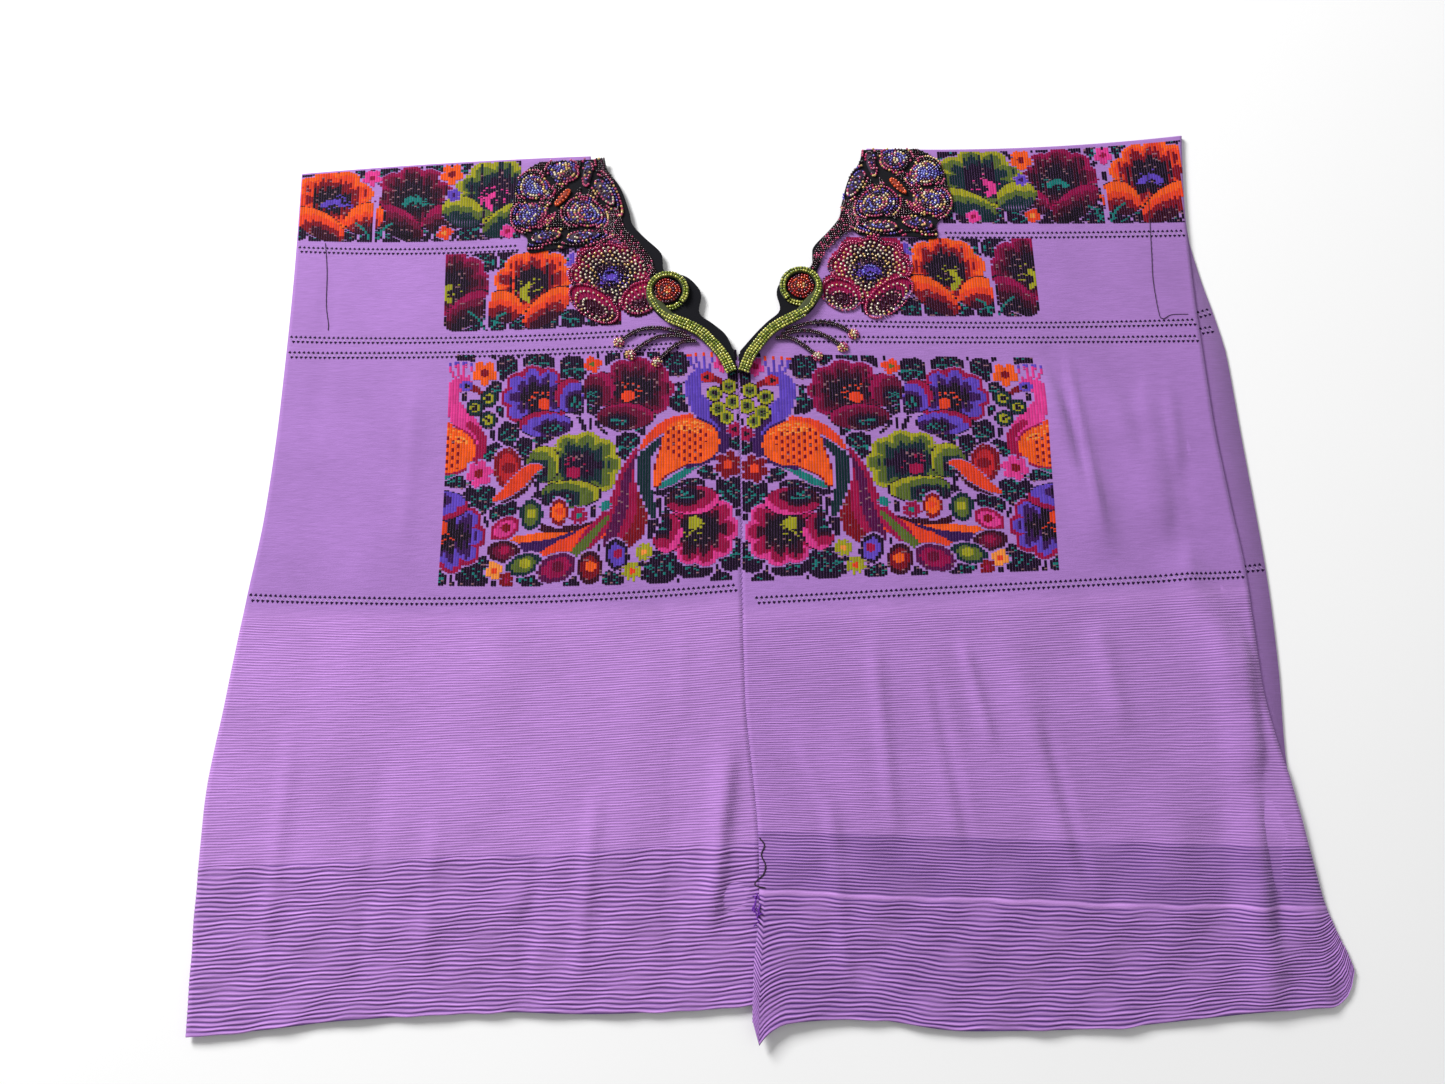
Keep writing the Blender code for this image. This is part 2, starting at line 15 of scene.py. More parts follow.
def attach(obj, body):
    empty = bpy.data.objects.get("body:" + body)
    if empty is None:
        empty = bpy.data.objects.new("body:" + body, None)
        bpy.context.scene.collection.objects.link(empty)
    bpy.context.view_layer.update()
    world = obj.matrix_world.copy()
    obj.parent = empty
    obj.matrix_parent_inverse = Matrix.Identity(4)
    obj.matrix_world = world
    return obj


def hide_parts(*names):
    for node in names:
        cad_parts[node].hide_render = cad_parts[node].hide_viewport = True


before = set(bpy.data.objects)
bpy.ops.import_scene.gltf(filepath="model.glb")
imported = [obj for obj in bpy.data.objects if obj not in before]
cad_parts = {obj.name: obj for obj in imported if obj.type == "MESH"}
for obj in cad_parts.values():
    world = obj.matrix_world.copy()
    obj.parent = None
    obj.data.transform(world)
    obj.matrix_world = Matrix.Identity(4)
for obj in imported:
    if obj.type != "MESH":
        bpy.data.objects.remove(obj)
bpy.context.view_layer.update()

METRE = 0.001
SEED = 7
RANDOM = np.random.default_rng(SEED)


def table(kind, *rows):
    """Rows of one kind, so that each value has its column's name."""
    return tuple(kind(*row) for row in rows)


# Cloth thickness and how the layers lie on each other
CLOTH = 1.5
LAYER_GAP = 0.6
TOUCH = 0.3
FRONT_UNDER = CLOTH + LAYER_GAP
FRONT_TOP = FRONT_UNDER + CLOTH
CLOTH_BASE = FRONT_TOP + TOUCH
FACING_THICK = 1.0
TRIM_BASE = CLOTH_BASE + FACING_THICK + TOUCH
MIDDLE_X = -7.0
BACK_SHORT = 8.0
CUT_BACK = 4.0

# A weft line across a panel: how far down the cloth it is from the shoulder, and its Y at the side edge,
# at the middle of the panel and at the centre seam. They are the shoulder, the openwork under the shoulder
# band, two lines of openwork over the field and one under it, the start of the heavy ribs, and the hem
WeftLine = namedtuple("WeftLine", "drop side middle seam")
LEFT_LINES = table(
    WeftLine, (0, 377, 383, 385), (88, 300, 293, 299), (180, 211, 204, 208), (195, 196, 190, 193),
    (416, -24, -34, -30), (625, -242, -241, -238), (743, -365, -358, -357),
)
RIGHT_LINES = table(
    WeftLine, (0, 385, 378, 383), (88, 285, 289, 297), (182, 197, 201, 212), (197, 181, 187, 196),
    (420, -34, -38, -42), (670, -300, -288, -272), (764, -377, -381, -372),
)

# The hem's wavy line: share of the way across from the side edge to the seam, and Y
HemPoint = namedtuple("HemPoint", "across y")
LEFT_HEM = table(
    HemPoint, (0.00, -367), (0.09, -366), (0.30, -361), (0.55, -360), (0.71, -363), (0.87, -362),
    (1.00, -358),
)
RIGHT_HEM = table(
    HemPoint, (0.000, -349), (0.015, -366), (0.043, -373), (0.130, -372), (0.270, -374), (0.430, -377),
    (0.650, -376), (0.820, -367), (0.940, -370), (0.978, -379), (0.993, -386.6), (1.000, -370),
)

# Edges that run up the cloth: X at a given Y
EdgePoint = namedtuple("EdgePoint", "y x")
LEFT_SIDE = table(
    EdgePoint, (400, -406), (300, -406.5), (150, -411), (50, -418), (-25, -428.5), (-110, -440),
    (-200, -450.5), (-260, -451), (-400, -450),
)
RIGHT_SIDE = table(
    EdgePoint, (400, 419), (370, 415), (285, 408), (200, 406), (115, 406), (30, 410), (-35, 414),
    (-123, 413.5), (-175, 419), (-202, 424), (-265, 432), (-295, 436), (-325, 444), (-349, 451),
    (-377, 451),
)
RIGHT_BACK_SIDE = table(
    EdgePoint, (400, 419), (370, 415), (285, 409.5), (242, 414.4), (202, 422), (163, 427.4), (100, 428.8),
    (-37, 432), (-108, 430), (-190, 424), (-400, 421),
)
CENTRE_SEAM = table(
    EdgePoint, (200, -7), (168, -6), (47, -8), (-40, -11), (-119, -11.5), (-205, -6.5), (-235, -5),
    (-273, -6), (-303, -9), (-334, -13), (-400, -17),
)
SEAM_END_Y = -233.0
LAP = 5.0
LAP_LIFT = 3.0
LAP_RUN = 24.0
LAP_SPREAD = 42.0
LAPPED_WIDTH = 28.0

# The neck's cut edge, from the shoulder to the point of the V: Y, and distance from the middle line
NeckPoint = namedtuple("NeckPoint", "y out")
NECK_EDGE = table(
    NeckPoint, (388, 126), (369, 122), (352, 111), (327, 103), (313, 100), (300, 90), (284, 75), (274, 73),
    (264, 71), (259, 53), (248, 42), (238, 39), (222, 41), (211, 29), (200, 18), (184, 3),
)
V_POINT_Y = 181.0

# Folds in the front halves: a soft ridge along a line, as wide and as high as given
Fold = namedtuple("Fold", "x0 y0 x1 y1 width height")
LEFT_FOLDS = table(
    Fold, (-26, -130, -50, -330, 10, 3.0), (-92, -60, -118, -300, 22, 1.8),
    (-215, -40, -228, -270, 26, 1.6), (-330, 60, -352, -220, 30, 1.4), (-160, -270, -330, -300, 14, 1.4),
)
RIGHT_FOLDS = table(
    Fold, (262, 168, 303, -30, 15, 5.0), (336, 150, 352, -10, 20, 4.0), (352, 0, 398, -150, 17, 5.0),
    (404, -70, 398, -215, 13, 5.5), (400, -190, 376, -400, 14, 6.0), (140, -70, 162, -270, 12, 2.6),
    (203, -60, 262, -330, 15, 3.4), (66, -120, 92, -330, 20, 2.2), (330, -180, 318, -350, 22, 2.4),
)
FOLD_TAPER = 0.28
PUCKER_HEIGHT = 1.3
PUCKER_X = 58.0
PUCKER_Y = 47.0
PUCKER_START_Y = -170.0
PUCKER_FULL_Y = -290.0
DROOP_START_X = 425.0
DROOP_END_X = 440.0
DROOP = FRONT_UNDER
DEEPEST = -0.4

# Finer creases that only the looks have: troughs are negative
LEFT_CREASES = table(
    Fold, (-22, -150, -46, -313, 6, 2.6), (-64, -130, -78, -345, 7, -2.2), (-132, -180, -151, -350, 7, 2.2),
    (-178, -230, -196, -352, 6, -2.0), (-262, -190, -270, -355, 7, 1.4), (-305, -150, -322, -350, 6, -1.4),
    (-382, -120, -396, -350, 7, 1.6), (-120, 330, -395, 316, 9, 0.6), (-290, 180, -300, -10, 7, 0.8),
    (-372, 290, -380, 90, 7, -0.7), (-60, -50, -66, -160, 6, 0.6),
)
RIGHT_CREASES = table(
    Fold, (272, 190, 292, 40, 6, -4.0), (282, 188, 300, -10, 4, 2.6), (330, 192, 344, 60, 9, -2.6),
    (372, 160, 366, -60, 6, 1.8), (372, 80, 362, -30, 9, -2.6), (384, -50, 384, -225, 10, 2.6),
    (412, -50, 408, -230, 8, -4.0), (380, -200, 372, -340, 10, 2.2), (404, -190, 396, -345, 8, -4.2),
    (140, -84, 166, -270, 6, -2.8), (168, -70, 190, -180, 5, 2.4), (228, -130, 256, -300, 6, -2.8),
    (282, -60, 297, -170, 9, 2.4), (96, -62, 104, -250, 6, 2.2), (10, -120, 52, -250, 9, -2.6),
    (52, -180, 60, -370, 6, 1.4), (210, 322, 330, 312, 9, 0.9), (20, -140, 62, -250, 7, 2.2),
)
Panel = namedtuple("Panel", "side lines hem front_side back_side folds creases close_band")
LEFT = Panel("left", LEFT_LINES, LEFT_HEM, LEFT_SIDE, LEFT_SIDE, LEFT_FOLDS, LEFT_CREASES, 0.0)
RIGHT = Panel("right", RIGHT_LINES, RIGHT_HEM, RIGHT_SIDE, RIGHT_BACK_SIDE, RIGHT_FOLDS, RIGHT_CREASES, 45.0)


def smooth(share):
    """0 below 0, 1 above 1, and a soft step in between."""
    share = np.clip(share, 0.0, 1.0)
    return share * share * (3 - 2 * share)


def read_table(rows, inward, outward, at):
    """The outward column's values where the inward column has the values at, with soft bends at the rows."""
    rows = sorted(rows, key=lambda row: getattr(row, inward))
    keys = np.array([getattr(row, inward) for row in rows], float)
    values = np.array([getattr(row, outward) for row in rows], float)
    slopes = np.diff(values) / np.diff(keys)
    before, after = slopes[:-1], slopes[1:]
    same_way = before * after > 0
    total = np.where(same_way, before + after, 1.0)
    middle = np.where(same_way, 2 * before * after / total, 0.0)
    tangents = np.concatenate(([slopes[0]], middle, [slopes[-1]]))
    at = np.clip(at, keys[0], keys[-1])
    i = np.clip(np.searchsorted(keys, at, side="right") - 1, 0, len(keys) - 2)
    step = keys[i + 1] - keys[i]
    t = (at - keys[i]) / step
    return (
        (2 * t**3 - 3 * t**2 + 1) * values[i]
        + (t**3 - 2 * t**2 + t) * step * tangents[i]
        + (3 * t**2 - 2 * t**3) * values[i + 1]
        + (t**3 - t**2) * step * tangents[i + 1]
    )


def outwards(side):
    """Which way along X leads out from the middle line on this side."""
    return 1.0 if side == "right" else -1.0


def inner_edge_x(side, y, seam):
    """X of a half's inner edge: the neck's cut above the V, and half a gap off the seam below it."""
    neck = MIDDLE_X + outwards(side) * (read_table(NECK_EDGE, "y", "out", y) + CUT_BACK)
    return np.where(y <= V_POINT_Y, seam + outwards(side) * TOUCH / 2, neck)


def front_seam_x(side, y):
    """X of the front's centre seam. Past its end the left half reaches on, under the right one."""
    under = LAP * smooth((SEAM_END_Y - LAP_RUN - y) / LAP_RUN) if side == "left" else 0.0
    return read_table(CENTRE_SEAM, "y", "x", y) + under


def weft_y(panel, across, drop):
    """Y of the weft that lies this far down the cloth, at this share of the way across."""
    lines = panel.lines
    side, middle, seam = (read_table(lines, "drop", name, drop) for name in ("side", "middle", "seam"))
    bend = 2 * (side + seam - 2 * middle)
    y = side + (seam - side - bend) * across + bend * across**2
    ribs, end = lines[-2].drop, lines[-1].drop
    to_hem = np.clip((drop - ribs) / (end - ribs), 0, None)
    plain_end = lines[-1].side + (lines[-1].seam - lines[-1].side) * across
    return y + (read_table(panel.hem, "across", "y", across) - plain_end) * to_hem


def fold_lift(folds, x, y):
    """How far the folds raise the cloth at a place."""
    lift = np.zeros(np.broadcast(x, y).shape)
    for fold in folds:
        line = np.array((fold.x1 - fold.x0, fold.y1 - fold.y0), float)
        length = math.hypot(*line)
        along = ((x - fold.x0) * line[0] + (y - fold.y0) * line[1]) / length**2
        aside = ((x - fold.x0) * line[1] - (y - fold.y0) * line[0]) / length
        ends = smooth(along / FOLD_TAPER) * smooth((1 - along) / FOLD_TAPER)
        lift += fold.height * ends * np.exp(-((aside / fold.width) ** 2))
    return lift


def front_lift(panel, x, y):
    """How far a front half's cloth lies above flat, with folds, puckers, the lap and the drooping corner."""
    lift = fold_lift(panel.folds, x, y) + fold_lift(panel.creases, x, y)
    growth = smooth((PUCKER_START_Y - y) / (PUCKER_START_Y - PUCKER_FULL_Y))
    across = np.sin(2 * math.pi * x / PUCKER_X + y / PUCKER_Y)
    along = np.sin(2 * math.pi * y / PUCKER_Y - x / PUCKER_X)
    lift = np.maximum(lift + PUCKER_HEIGHT * growth * (1 + across * along) / 2, DEEPEST)
    if panel.side == "right":
        near_seam = np.exp(-(((x - MIDDLE_X) / LAP_SPREAD) ** 2))
        lift = lift + LAP_LIFT * smooth((SEAM_END_Y - y) / LAP_RUN) * near_seam
        return lift - (DROOP + lift) * smooth((x - DROOP_START_X) / (DROOP_END_X - DROOP_START_X))
    low = smooth((SEAM_END_Y - y + LAP_RUN) / LAP_RUN) * smooth(1 - (MIDDLE_X - x) / LAPPED_WIDTH)
    return lift * (1 - low)


def lift_at(panel, x, y):
    """How far a front half's cloth lies above flat at one point."""
    return float(front_lift(panel, np.array(x), np.array(y)))


def front_edges(panel, drop):
    """X of a front half's side edge and inner edge at this drop."""
    side_x = read_table(panel.front_side, "y", "x", weft_y(panel, 0.0, drop))
    inner_y = weft_y(panel, 1.0, drop)
    return side_x, inner_edge_x(panel.side, inner_y, front_seam_x(panel.side, inner_y))


def on_front(panel, x, drop, height):
    """Points on a front half: X, how far down the cloth, and how far over its top face."""
    side_x, inner_x = front_edges(panel, drop)
    y = weft_y(panel, (x - side_x) / (inner_x - side_x), drop)
    return np.stack(np.broadcast_arrays(x, y, FRONT_TOP + front_lift(panel, x, y) + height), -1)


def seam_x(panel, drop):
    """X of the middle line at this drop."""
    return read_table(CENTRE_SEAM, "y", "x", weft_y(panel, 1.0, drop))


# A written colour is held to this share, because the studio's light makes surfaces brighter than that
LIT = 0.76


def screen(red, green, blue):
    """A colour in everyday screen values, turned to linear light."""
    linear = (((v / 255 + 0.055) / 1.055) ** 2.4 if v > 10 else v / 3294 for v in (red, green, blue))
    return tuple(LIT * v for v in linear)


def screens(**colours):
    """Named colours, each from its screen values."""
    return {name: screen(*values) for name, values in colours.items()}


PLAIN_LILAC = screen(180, 129, 210)
# Rib tops are painted paler and grooves darker than the plain cloth: painted highlight and painted shade
RIB_TOP_HIGHLIGHT = screen(230, 168, 255)
RIB_GROOVE_SHADE = screen(62, 12, 116)
VELVET_BLACK = (0.006, 0.006, 0.009)
THREAD = screens(
    ink=(26, 10, 34), black=(24, 14, 26), teal=(20, 124, 118), dark_teal=(12, 44, 48),
    blue_violet=(98, 70, 192), purple=(56, 20, 84), crimson=(160, 12, 66), pink=(228, 60, 146),
    maroon=(106, 8, 46), dark_maroon=(54, 8, 26), wine=(86, 12, 68), berry=(150, 8, 70), red=(196, 34, 38),
    dark_red=(130, 12, 24), flame=(238, 68, 26), orange=(250, 94, 18), amber=(250, 150, 60),
    olive=(90, 108, 38), lime=(166, 162, 28), speck=(146, 104, 112),
)
INK = {name: number for number, name in enumerate(THREAD)}
NONE = -1


def placed(name, data):
    """An object with this data, linked into the scene."""
    made = bpy.data.objects.new(name, data)
    bpy.context.scene.collection.objects.link(made)
    return made


def new_mesh(name, points, faces, finish, colours=None):
    """A smooth mesh from points in millimetres, with a colour at each point where colours are given."""
    data = bpy.data.meshes.new(name)
    points = np.asarray(points, np.float32).reshape(-1, 3) * METRE
    faces = np.asarray(faces, np.int32)
    corners = faces.shape[1]
    data.vertices.add(len(points))
    data.vertices.foreach_set("co", points.ravel())
    data.loops.add(faces.size)
    data.loops.foreach_set("vertex_index", faces.ravel())
    data.polygons.add(len(faces))
    data.polygons.foreach_set("loop_start", np.arange(0, faces.size, corners, dtype=np.int32))
    data.update(calc_edges=True)
    data.shade_smooth()
    if colours is not None:
        layer = data.color_attributes.new("tint", "FLOAT_COLOR", "POINT")
        rgba = np.ones((len(points), 4), np.float32)
        rgba[:, :3] = colours
        layer.data.foreach_set("color", rgba.ravel())
    data.materials.append(finish)
    return placed(name, data)


# Ribs woven into the cloth above the hem
FINE_STARTS = 8.0
FINE_FADES_IN = 16.0
COLUMNS = 112
FOLD_STEPS = 8


def spread(first, last, step):
    """The values from first to last in about this step, with both ends."""
    return np.linspace(first, last, max(2, round((last - first) / step) + 1))


# A kind of rib: its pitch and height, how many rows make it, its tone in the groove (painted shade) and on top
# (painted highlight), its waviness
Rib = namedtuple("Rib", "pitch height steps groove top waviness")
# The right half's ribs are toned darker than the left's: painted shade for the light falling off towards the
# right
FINE_RIBS = {"left": Rib(2.05, 0.55, 4, 0.45, 0.98, 0.3), "right": Rib(2.05, 0.6, 4, 0.32, 0.92, 0.3)}
CLOSE_RIB = Rib(2.55, 0.85, 5, 0.0, 0.78, 0.5)
HEAVY_RIBS = {"left": Rib(3.2, 1.2, 6, 0.08, 1.0, 1.0), "right": Rib(3.2, 1.25, 6, 0.0, 0.90, 1.0)}
RIB_SHARPNESS = 1.4
PLAIN_TONE = 0.7
FADED_TONE = 0.62
SMOOTH_BAND = 5.5
SMOOTH_EDGE = 1.4
SMOOTH_HIGH = 1.2
# How much of a rib's height and tone stays everywhere, and how much comes and goes along it; the tone drops
# with the height as painted shade
EVEN_HEIGHT = 0.72
UNEVEN_HEIGHT = 0.28
EVEN_TONE = 0.74
UNEVEN_TONE = 0.3
FADED_SHARE = 0.45
FADED_LOWERS = 0.6
# How far a fold that rises by a millimetre draws the ribs towards the hem
FOLD_DRAWS = 0.18
PLAIN_STEP = 6
BACK_STEP = 14
# A row of the cloth's mesh: its layer, how far down the weave and how far round the shoulder fold it lies,
# and its rib's height, tone and waviness
Row = namedtuple("Row", "layer drop turn rib tone waviness", defaults=(0.0, 0.0, 0.0, PLAIN_TONE, 0.0))
# Waves that the ribs run in: their size, and how fast they change with X and with the drop
Wave = namedtuple("Wave", "size run_x run_drop")
WAVES = table(Wave, (0.7, 29, 13), (0.4, 10.3, -7), (0.35, 5.1, 4))
# Columns where the edge turns in: share of the way across, and how deep in the cloth's thickness they lie
TURNED_IN = ((0.09, 1.0), (0.0, 1.0), (-0.001, 0.5))


def rib_rows(first, last, rib):
    """Rows over woven ribs, toned from painted shade in each groove to a painted highlight on each top."""
    count = round((last - first) / rib.pitch)
    rows = []
    for k in range(count * rib.steps):
        share = math.sin(math.pi * (k % rib.steps) / rib.steps)
        drop = first + (last - first) * k / (count * rib.steps)
        # The tone runs with the rib's height, from the groove's painted shade to the top's painted highlight
        tone = rib.groove + (rib.top - rib.groove) * share ** RIB_SHARPNESS
        rows.append(Row("front", drop, 0.0, rib.height * share, tone, rib.waviness))
    return rows


def cloth_rows(panel):
    """A panel's rows from the front hem over the shoulder to the back hem."""
    openwork, heavy, hem = (line.drop for line in panel.lines[-3:])
    fine, close = openwork + FINE_STARTS, heavy - panel.close_band
    front = [Row("front", drop) for drop in spread(0, fine, PLAIN_STEP)[:-1]]
    front += rib_rows(fine, close, FINE_RIBS[panel.side])
    if panel.close_band:
        front += rib_rows(close, heavy, CLOSE_RIB)
        # A dark low row at the close band's foot and a pale smooth raised band: painted shade and painted
        # highlight by height
        front.append(Row("front", heavy, tone=0.1, waviness=0.8))
        for drop in (heavy + SMOOTH_EDGE, heavy + SMOOTH_BAND - SMOOTH_EDGE):
            front.append(Row("front", drop, rib=SMOOTH_HIGH, tone=0.9, waviness=0.8))
        heavy += SMOOTH_BAND
    front += rib_rows(heavy, hem, HEAVY_RIBS[panel.side])
    # The hem row, at groove height, takes the groove's painted shade
    front.append(Row("front", hem, tone=0.0))
    fold = [Row("fold", turn=math.pi * k / FOLD_STEPS) for k in range(1, FOLD_STEPS)]
    back = [Row("back", drop, math.pi) for drop in spread(0, hem, BACK_STEP)]
    return front[::-1] + fold + back


def cloth(panel, finish):
    """One length of cloth, front half, shoulder fold and back half, with its edges turned in."""
    rows = cloth_rows(panel)
    layer = np.array([row.layer for row in rows])[:, None]
    drop, turn, rib, tone, waviness = np.array([row[1:] for row in rows], float).T[..., None]
    columns = [*TURNED_IN, *((a, 0.0) for a in np.linspace(0, 1, COLUMNS + 1))]
    columns += [(1 - a, depth) for a, depth in TURNED_IN[::-1]]
    across, depth = np.array(columns).T[:, None, :]

    edge_across = np.clip(across, 0, 1)
    side_x, inner_x = front_edges(panel, drop)
    back_side_x = read_table(panel.back_side, "y", "x", weft_y(panel, 0.0, drop))
    back_inner_x = inner_edge_x(panel.side, weft_y(panel, 1.0, drop), MIDDLE_X)
    is_back, is_fold = layer == "back", layer == "fold"
    side_x = np.where(is_back, back_side_x, side_x)
    inner_x = np.where(is_back, back_inner_x, inner_x)
    x = side_x + (inner_x - side_x) * across
    y = weft_y(panel, edge_across, drop)
    back_hem_y = max(panel.lines[-1].side, panel.lines[-1].seam) + BACK_SHORT
    y = np.where(is_back, np.maximum(y, back_hem_y), y)

    # The ribs run in slight waves, and differ in height along their length
    lift = front_lift(panel, x, y)
    waves = sum(wave.size * np.sin(x / wave.run_x + drop / wave.run_drop) for wave in WAVES)
    swing = UNEVEN_HEIGHT * np.sin(x / 23 + drop * 1.9)
    unevenness = EVEN_HEIGHT + swing * np.sin(x / 9.1 - drop * 0.7)
    faded = waviness * FADED_SHARE * smooth(1.2 * np.sin(x / 37 + drop / 9) * np.sin(x / 14 - drop / 21) - 0.2)
    starts = smooth((drop - panel.lines[-3].drop - FINE_STARTS) / FINE_FADES_IN)
    ribs = rib * unevenness * starts * (1 - FADED_LOWERS * faded)
    tone = PLAIN_TONE + (tone - PLAIN_TONE) * starts
    tone = tone + (FADED_TONE - tone) * faded
    y = y + waviness * (waves - FOLD_DRAWS * lift)

    outer = np.where(is_back, 0.0, FRONT_TOP + lift + ribs)
    inner = np.where(is_back, CLOTH, FRONT_UNDER + lift)
    z = outer + (inner - outer) * depth
    radius = FRONT_TOP / 2 + (LAYER_GAP / 2 - FRONT_TOP / 2) * depth
    z = np.where(is_fold, FRONT_TOP / 2 + radius * np.cos(turn), z)
    y = np.where(is_fold, y + radius * np.sin(turn), y)

    points = np.stack([x, y, z], -1)
    ribbed = smooth((drop - panel.lines[-3].drop) / FINE_FADES_IN) * ~is_back * ~is_fold
    # Lower stretches of a rib are toned darker: painted shade that follows the rib's height
    tone = tone * (EVEN_TONE + UNEVEN_TONE * unevenness)
    shares = np.stack(np.broadcast_arrays(tone, ribbed * 1.0, waviness, x), -1)[..., :3]
    high, wide = points.shape[:2]
    corner = np.arange(high * wide).reshape(high, wide)
    faces = np.stack([corner[:-1, :-1], corner[:-1, 1:], corner[1:, 1:], corner[1:, :-1]], -1).reshape(-1, 4)
    if panel.side == "right":
        faces = faces[:, ::-1]
    return new_mesh(f"cloth_{panel.side}", points, faces, finish, shares.reshape(-1, 3))


# Brocade: a chart has a column for each ridge of threads, out from the middle line, and rows up the cloth
COLUMN = 2.35
ROW = 1.15
LONGEST_FLOAT = 8
RIDGE = 0.55
RIDGE_FOOT = 0.08
RIDGE_HALF = 0.47
THREAD_SHADES = (0.82, 1.12)
GAP = 1.5


class Chart:
    """Thread colours over a patch of cloth: rows up the patch, columns outwards from the middle line."""

    def __init__(self, first, wide, high):
        self.out = first + COLUMN * (np.arange(round(wide / COLUMN)) + 0.5)
        self.up = ROW * (np.arange(round(high / ROW)) + 0.5)
        self.ink = np.full((len(self.up), len(self.out)), NONE)
        # Each column has its own raggedness, so that colours meet in steps as threads do
        self.rag = RANDOM.normal(0, 1, len(self.out))[None, :]
        self.fleck = RANDOM.random(self.ink.shape)

    def paint(self, mask, colour):
        """Gives the cells of the mask this thread, or none."""
        self.ink[mask] = NONE if colour is None else INK[colour]

    def around(self, out, up, turn=0.0, stretch=1.0):
        """How far each cell lies from a place, along a way turned by these degrees and across it.

        What is drawn with it comes out wider by the stretch."""
        cos, sin = math.cos(math.radians(turn)), math.sin(math.radians(turn))
        p, q = (self.out[None, :] - out) / stretch, self.up[:, None] - up
        return p * cos + q * sin, q * cos - p * sin

    def oval(self, out, up, length, width, turn=0.0):
        """Distance from a place as a share of an oval's outline."""
        p, q = self.around(out, up, turn)
        return np.hypot(2 * p / length, 2 * q / width)


def lobed(p, q, lobes, depth, start=0.0):
    """Distance from the centre as a share of a scalloped outline."""
    edge = 1 - depth + depth * np.abs(np.cos(lobes * (np.arctan2(q, p) + start) / 2)) ** 0.6
    return np.hypot(p, q) / edge


# A poppy is a scalloped fan with two curled petals in front, laid out as shares of its half width and
# height. A curl's bands of colour run round a middle that is shifted towards the stem
Poppy = namedtuple("Poppy", "out up width height way turn colours stretch cup", defaults=(1.0, "ink"))
Colours = namedtuple("Colours", "edge body inner deep heart")
Curl = namedtuple("Curl", "p q length width shift_p shift_q")
FAN_P = 0.17
FAN_Q = 0.12
FAN_RADIUS = 0.88
FAN_LOBES = 9
FAN_DEPTHS = (0.15, 0.30)
CURLS = table(Curl, (-0.66, 0.16, 0.36, 0.46, -0.14, -0.18), (-0.06, -0.60, 0.64, 0.34, -0.18, -0.12))

# How a flower's cup is drawn: how far a curl's middle sinks towards the stem, how much wider the fan's dark
# bands are, and how far the body, inner and cup colours reach in a curl
Depth = namedtuple("Depth", "sunk darker body inner cup")
DEEP = Depth(1.0, 1.0, 1.13, 0.68, 0.46)
SHALLOW = Depth(1.8, 1.12, 1.38, 1.0, 0.6)


def poppy(chart, flower):
    """An open flower whose colours darken in ragged steps from its edge to its heart."""
    edge, body, inner, deep, heart = flower.colours
    p, q = chart.around(flower.out, flower.up, flower.turn, flower.stretch)
    p, q = 2 * flower.way * p / flower.width, 2 * q / flower.height
    a, b = (p - FAN_P) / FAN_RADIUS, (q - FAN_Q) / FAN_RADIUS
    share, dipped = (lobed(a, b, FAN_LOBES, depth) for depth in FAN_DEPTHS)
    rim = 2 * GAP / flower.width
    deep_cup = flower.cup == "ink"
    depth = DEEP if deep_cup else SHALLOW
    curls = []
    for curl in CURLS:
        a, b = p - curl.p, q - curl.q
        outline = np.hypot(a / curl.length, b / curl.width)
        a, b = a - depth.sunk * curl.shift_p, b - depth.sunk * curl.shift_q
        curls.append((outline, np.hypot(a / curl.length, b / curl.width)))
    chart.paint((share < 1 + rim) | (curls[0][0] < 1 + 2 * rim) | (curls[1][0] < 1 + 2 * rim), None)
    chart.paint(share < 1, edge)
    chart.paint(dipped + 0.02 * chart.rag < 0.90, body)
    chart.paint(dipped + 0.09 * chart.rag < 0.66 * depth.darker, inner)
    chart.paint(share + 0.08 * chart.rag < 0.44 * depth.darker, deep)
    sparks = (np.hypot(p / 0.34, (q - 0.06) / 0.30) < 1) & (p + q > -0.1) & (chart.fleck < 0.12)
    chart.paint(sparks, heart)
    bands = ((0.05, depth.body, body), (0.07, depth.inner, inner), (0.08, depth.cup, flower.cup))
    for outline, inside in curls:
        chart.paint(outline < 1.05, deep)
        chart.paint(outline < 1, edge)
        for ragged, reach, colour in bands:
            chart.paint((outline < 1) & (inside + ragged * chart.rag < reach), colour)
        if deep_cup:
            chart.paint((outline < 1) & (inside < 0.36) & (chart.fleck < 0.3), "teal")
    # The heart is a spot in a deep flower, and an arch of stamens in the others
    from_heart = np.hypot(p, q + 0.06) + 0.015 * chart.rag
    upright = flower.way * p + q > 0
    chart.paint(from_heart < 0.15 if deep_cup else (np.abs(from_heart - 0.2) < 0.07) & upright, heart)


Leaf = namedtuple("Leaf", "out up length width turn")
LEAF_GROWS = 1.25


def leaf(chart, shape):
    """A dark leaf, nearly square, with broken teal veins."""
    p, q = chart.around(shape.out, shape.up, shape.turn)
    p, q = p / LEAF_GROWS, q / LEAF_GROWS
    share = (np.abs(2 * p / shape.length) ** 2.8 + np.abs(2 * q / shape.width) ** 2.8) ** (1 / 2.8)
    chart.paint(share < 1 + 2 * GAP / max(shape.length, shape.width), None)
    chart.paint(share + 0.03 * chart.rag < 1, "ink")
    veins = (np.abs(q) < 0.8) | (((p + 0.9 * np.abs(q)) % 6.5) < 1.3)
    chart.paint(veins & (share < 0.76) & (chart.fleck < 0.55), "teal")


STROKE_STEP = 1.5


def between(before, start, stop, after, t):
    """Points at the shares t of the way from start to stop, on a smooth line through all four."""
    bend = before * 2 - start * 5 + stop * 4 - after
    twist = start * 3 - before - stop * 3 + after
    return (start * 2 + (stop - before) * t + bend * t**2 + twist * t**3) / 2


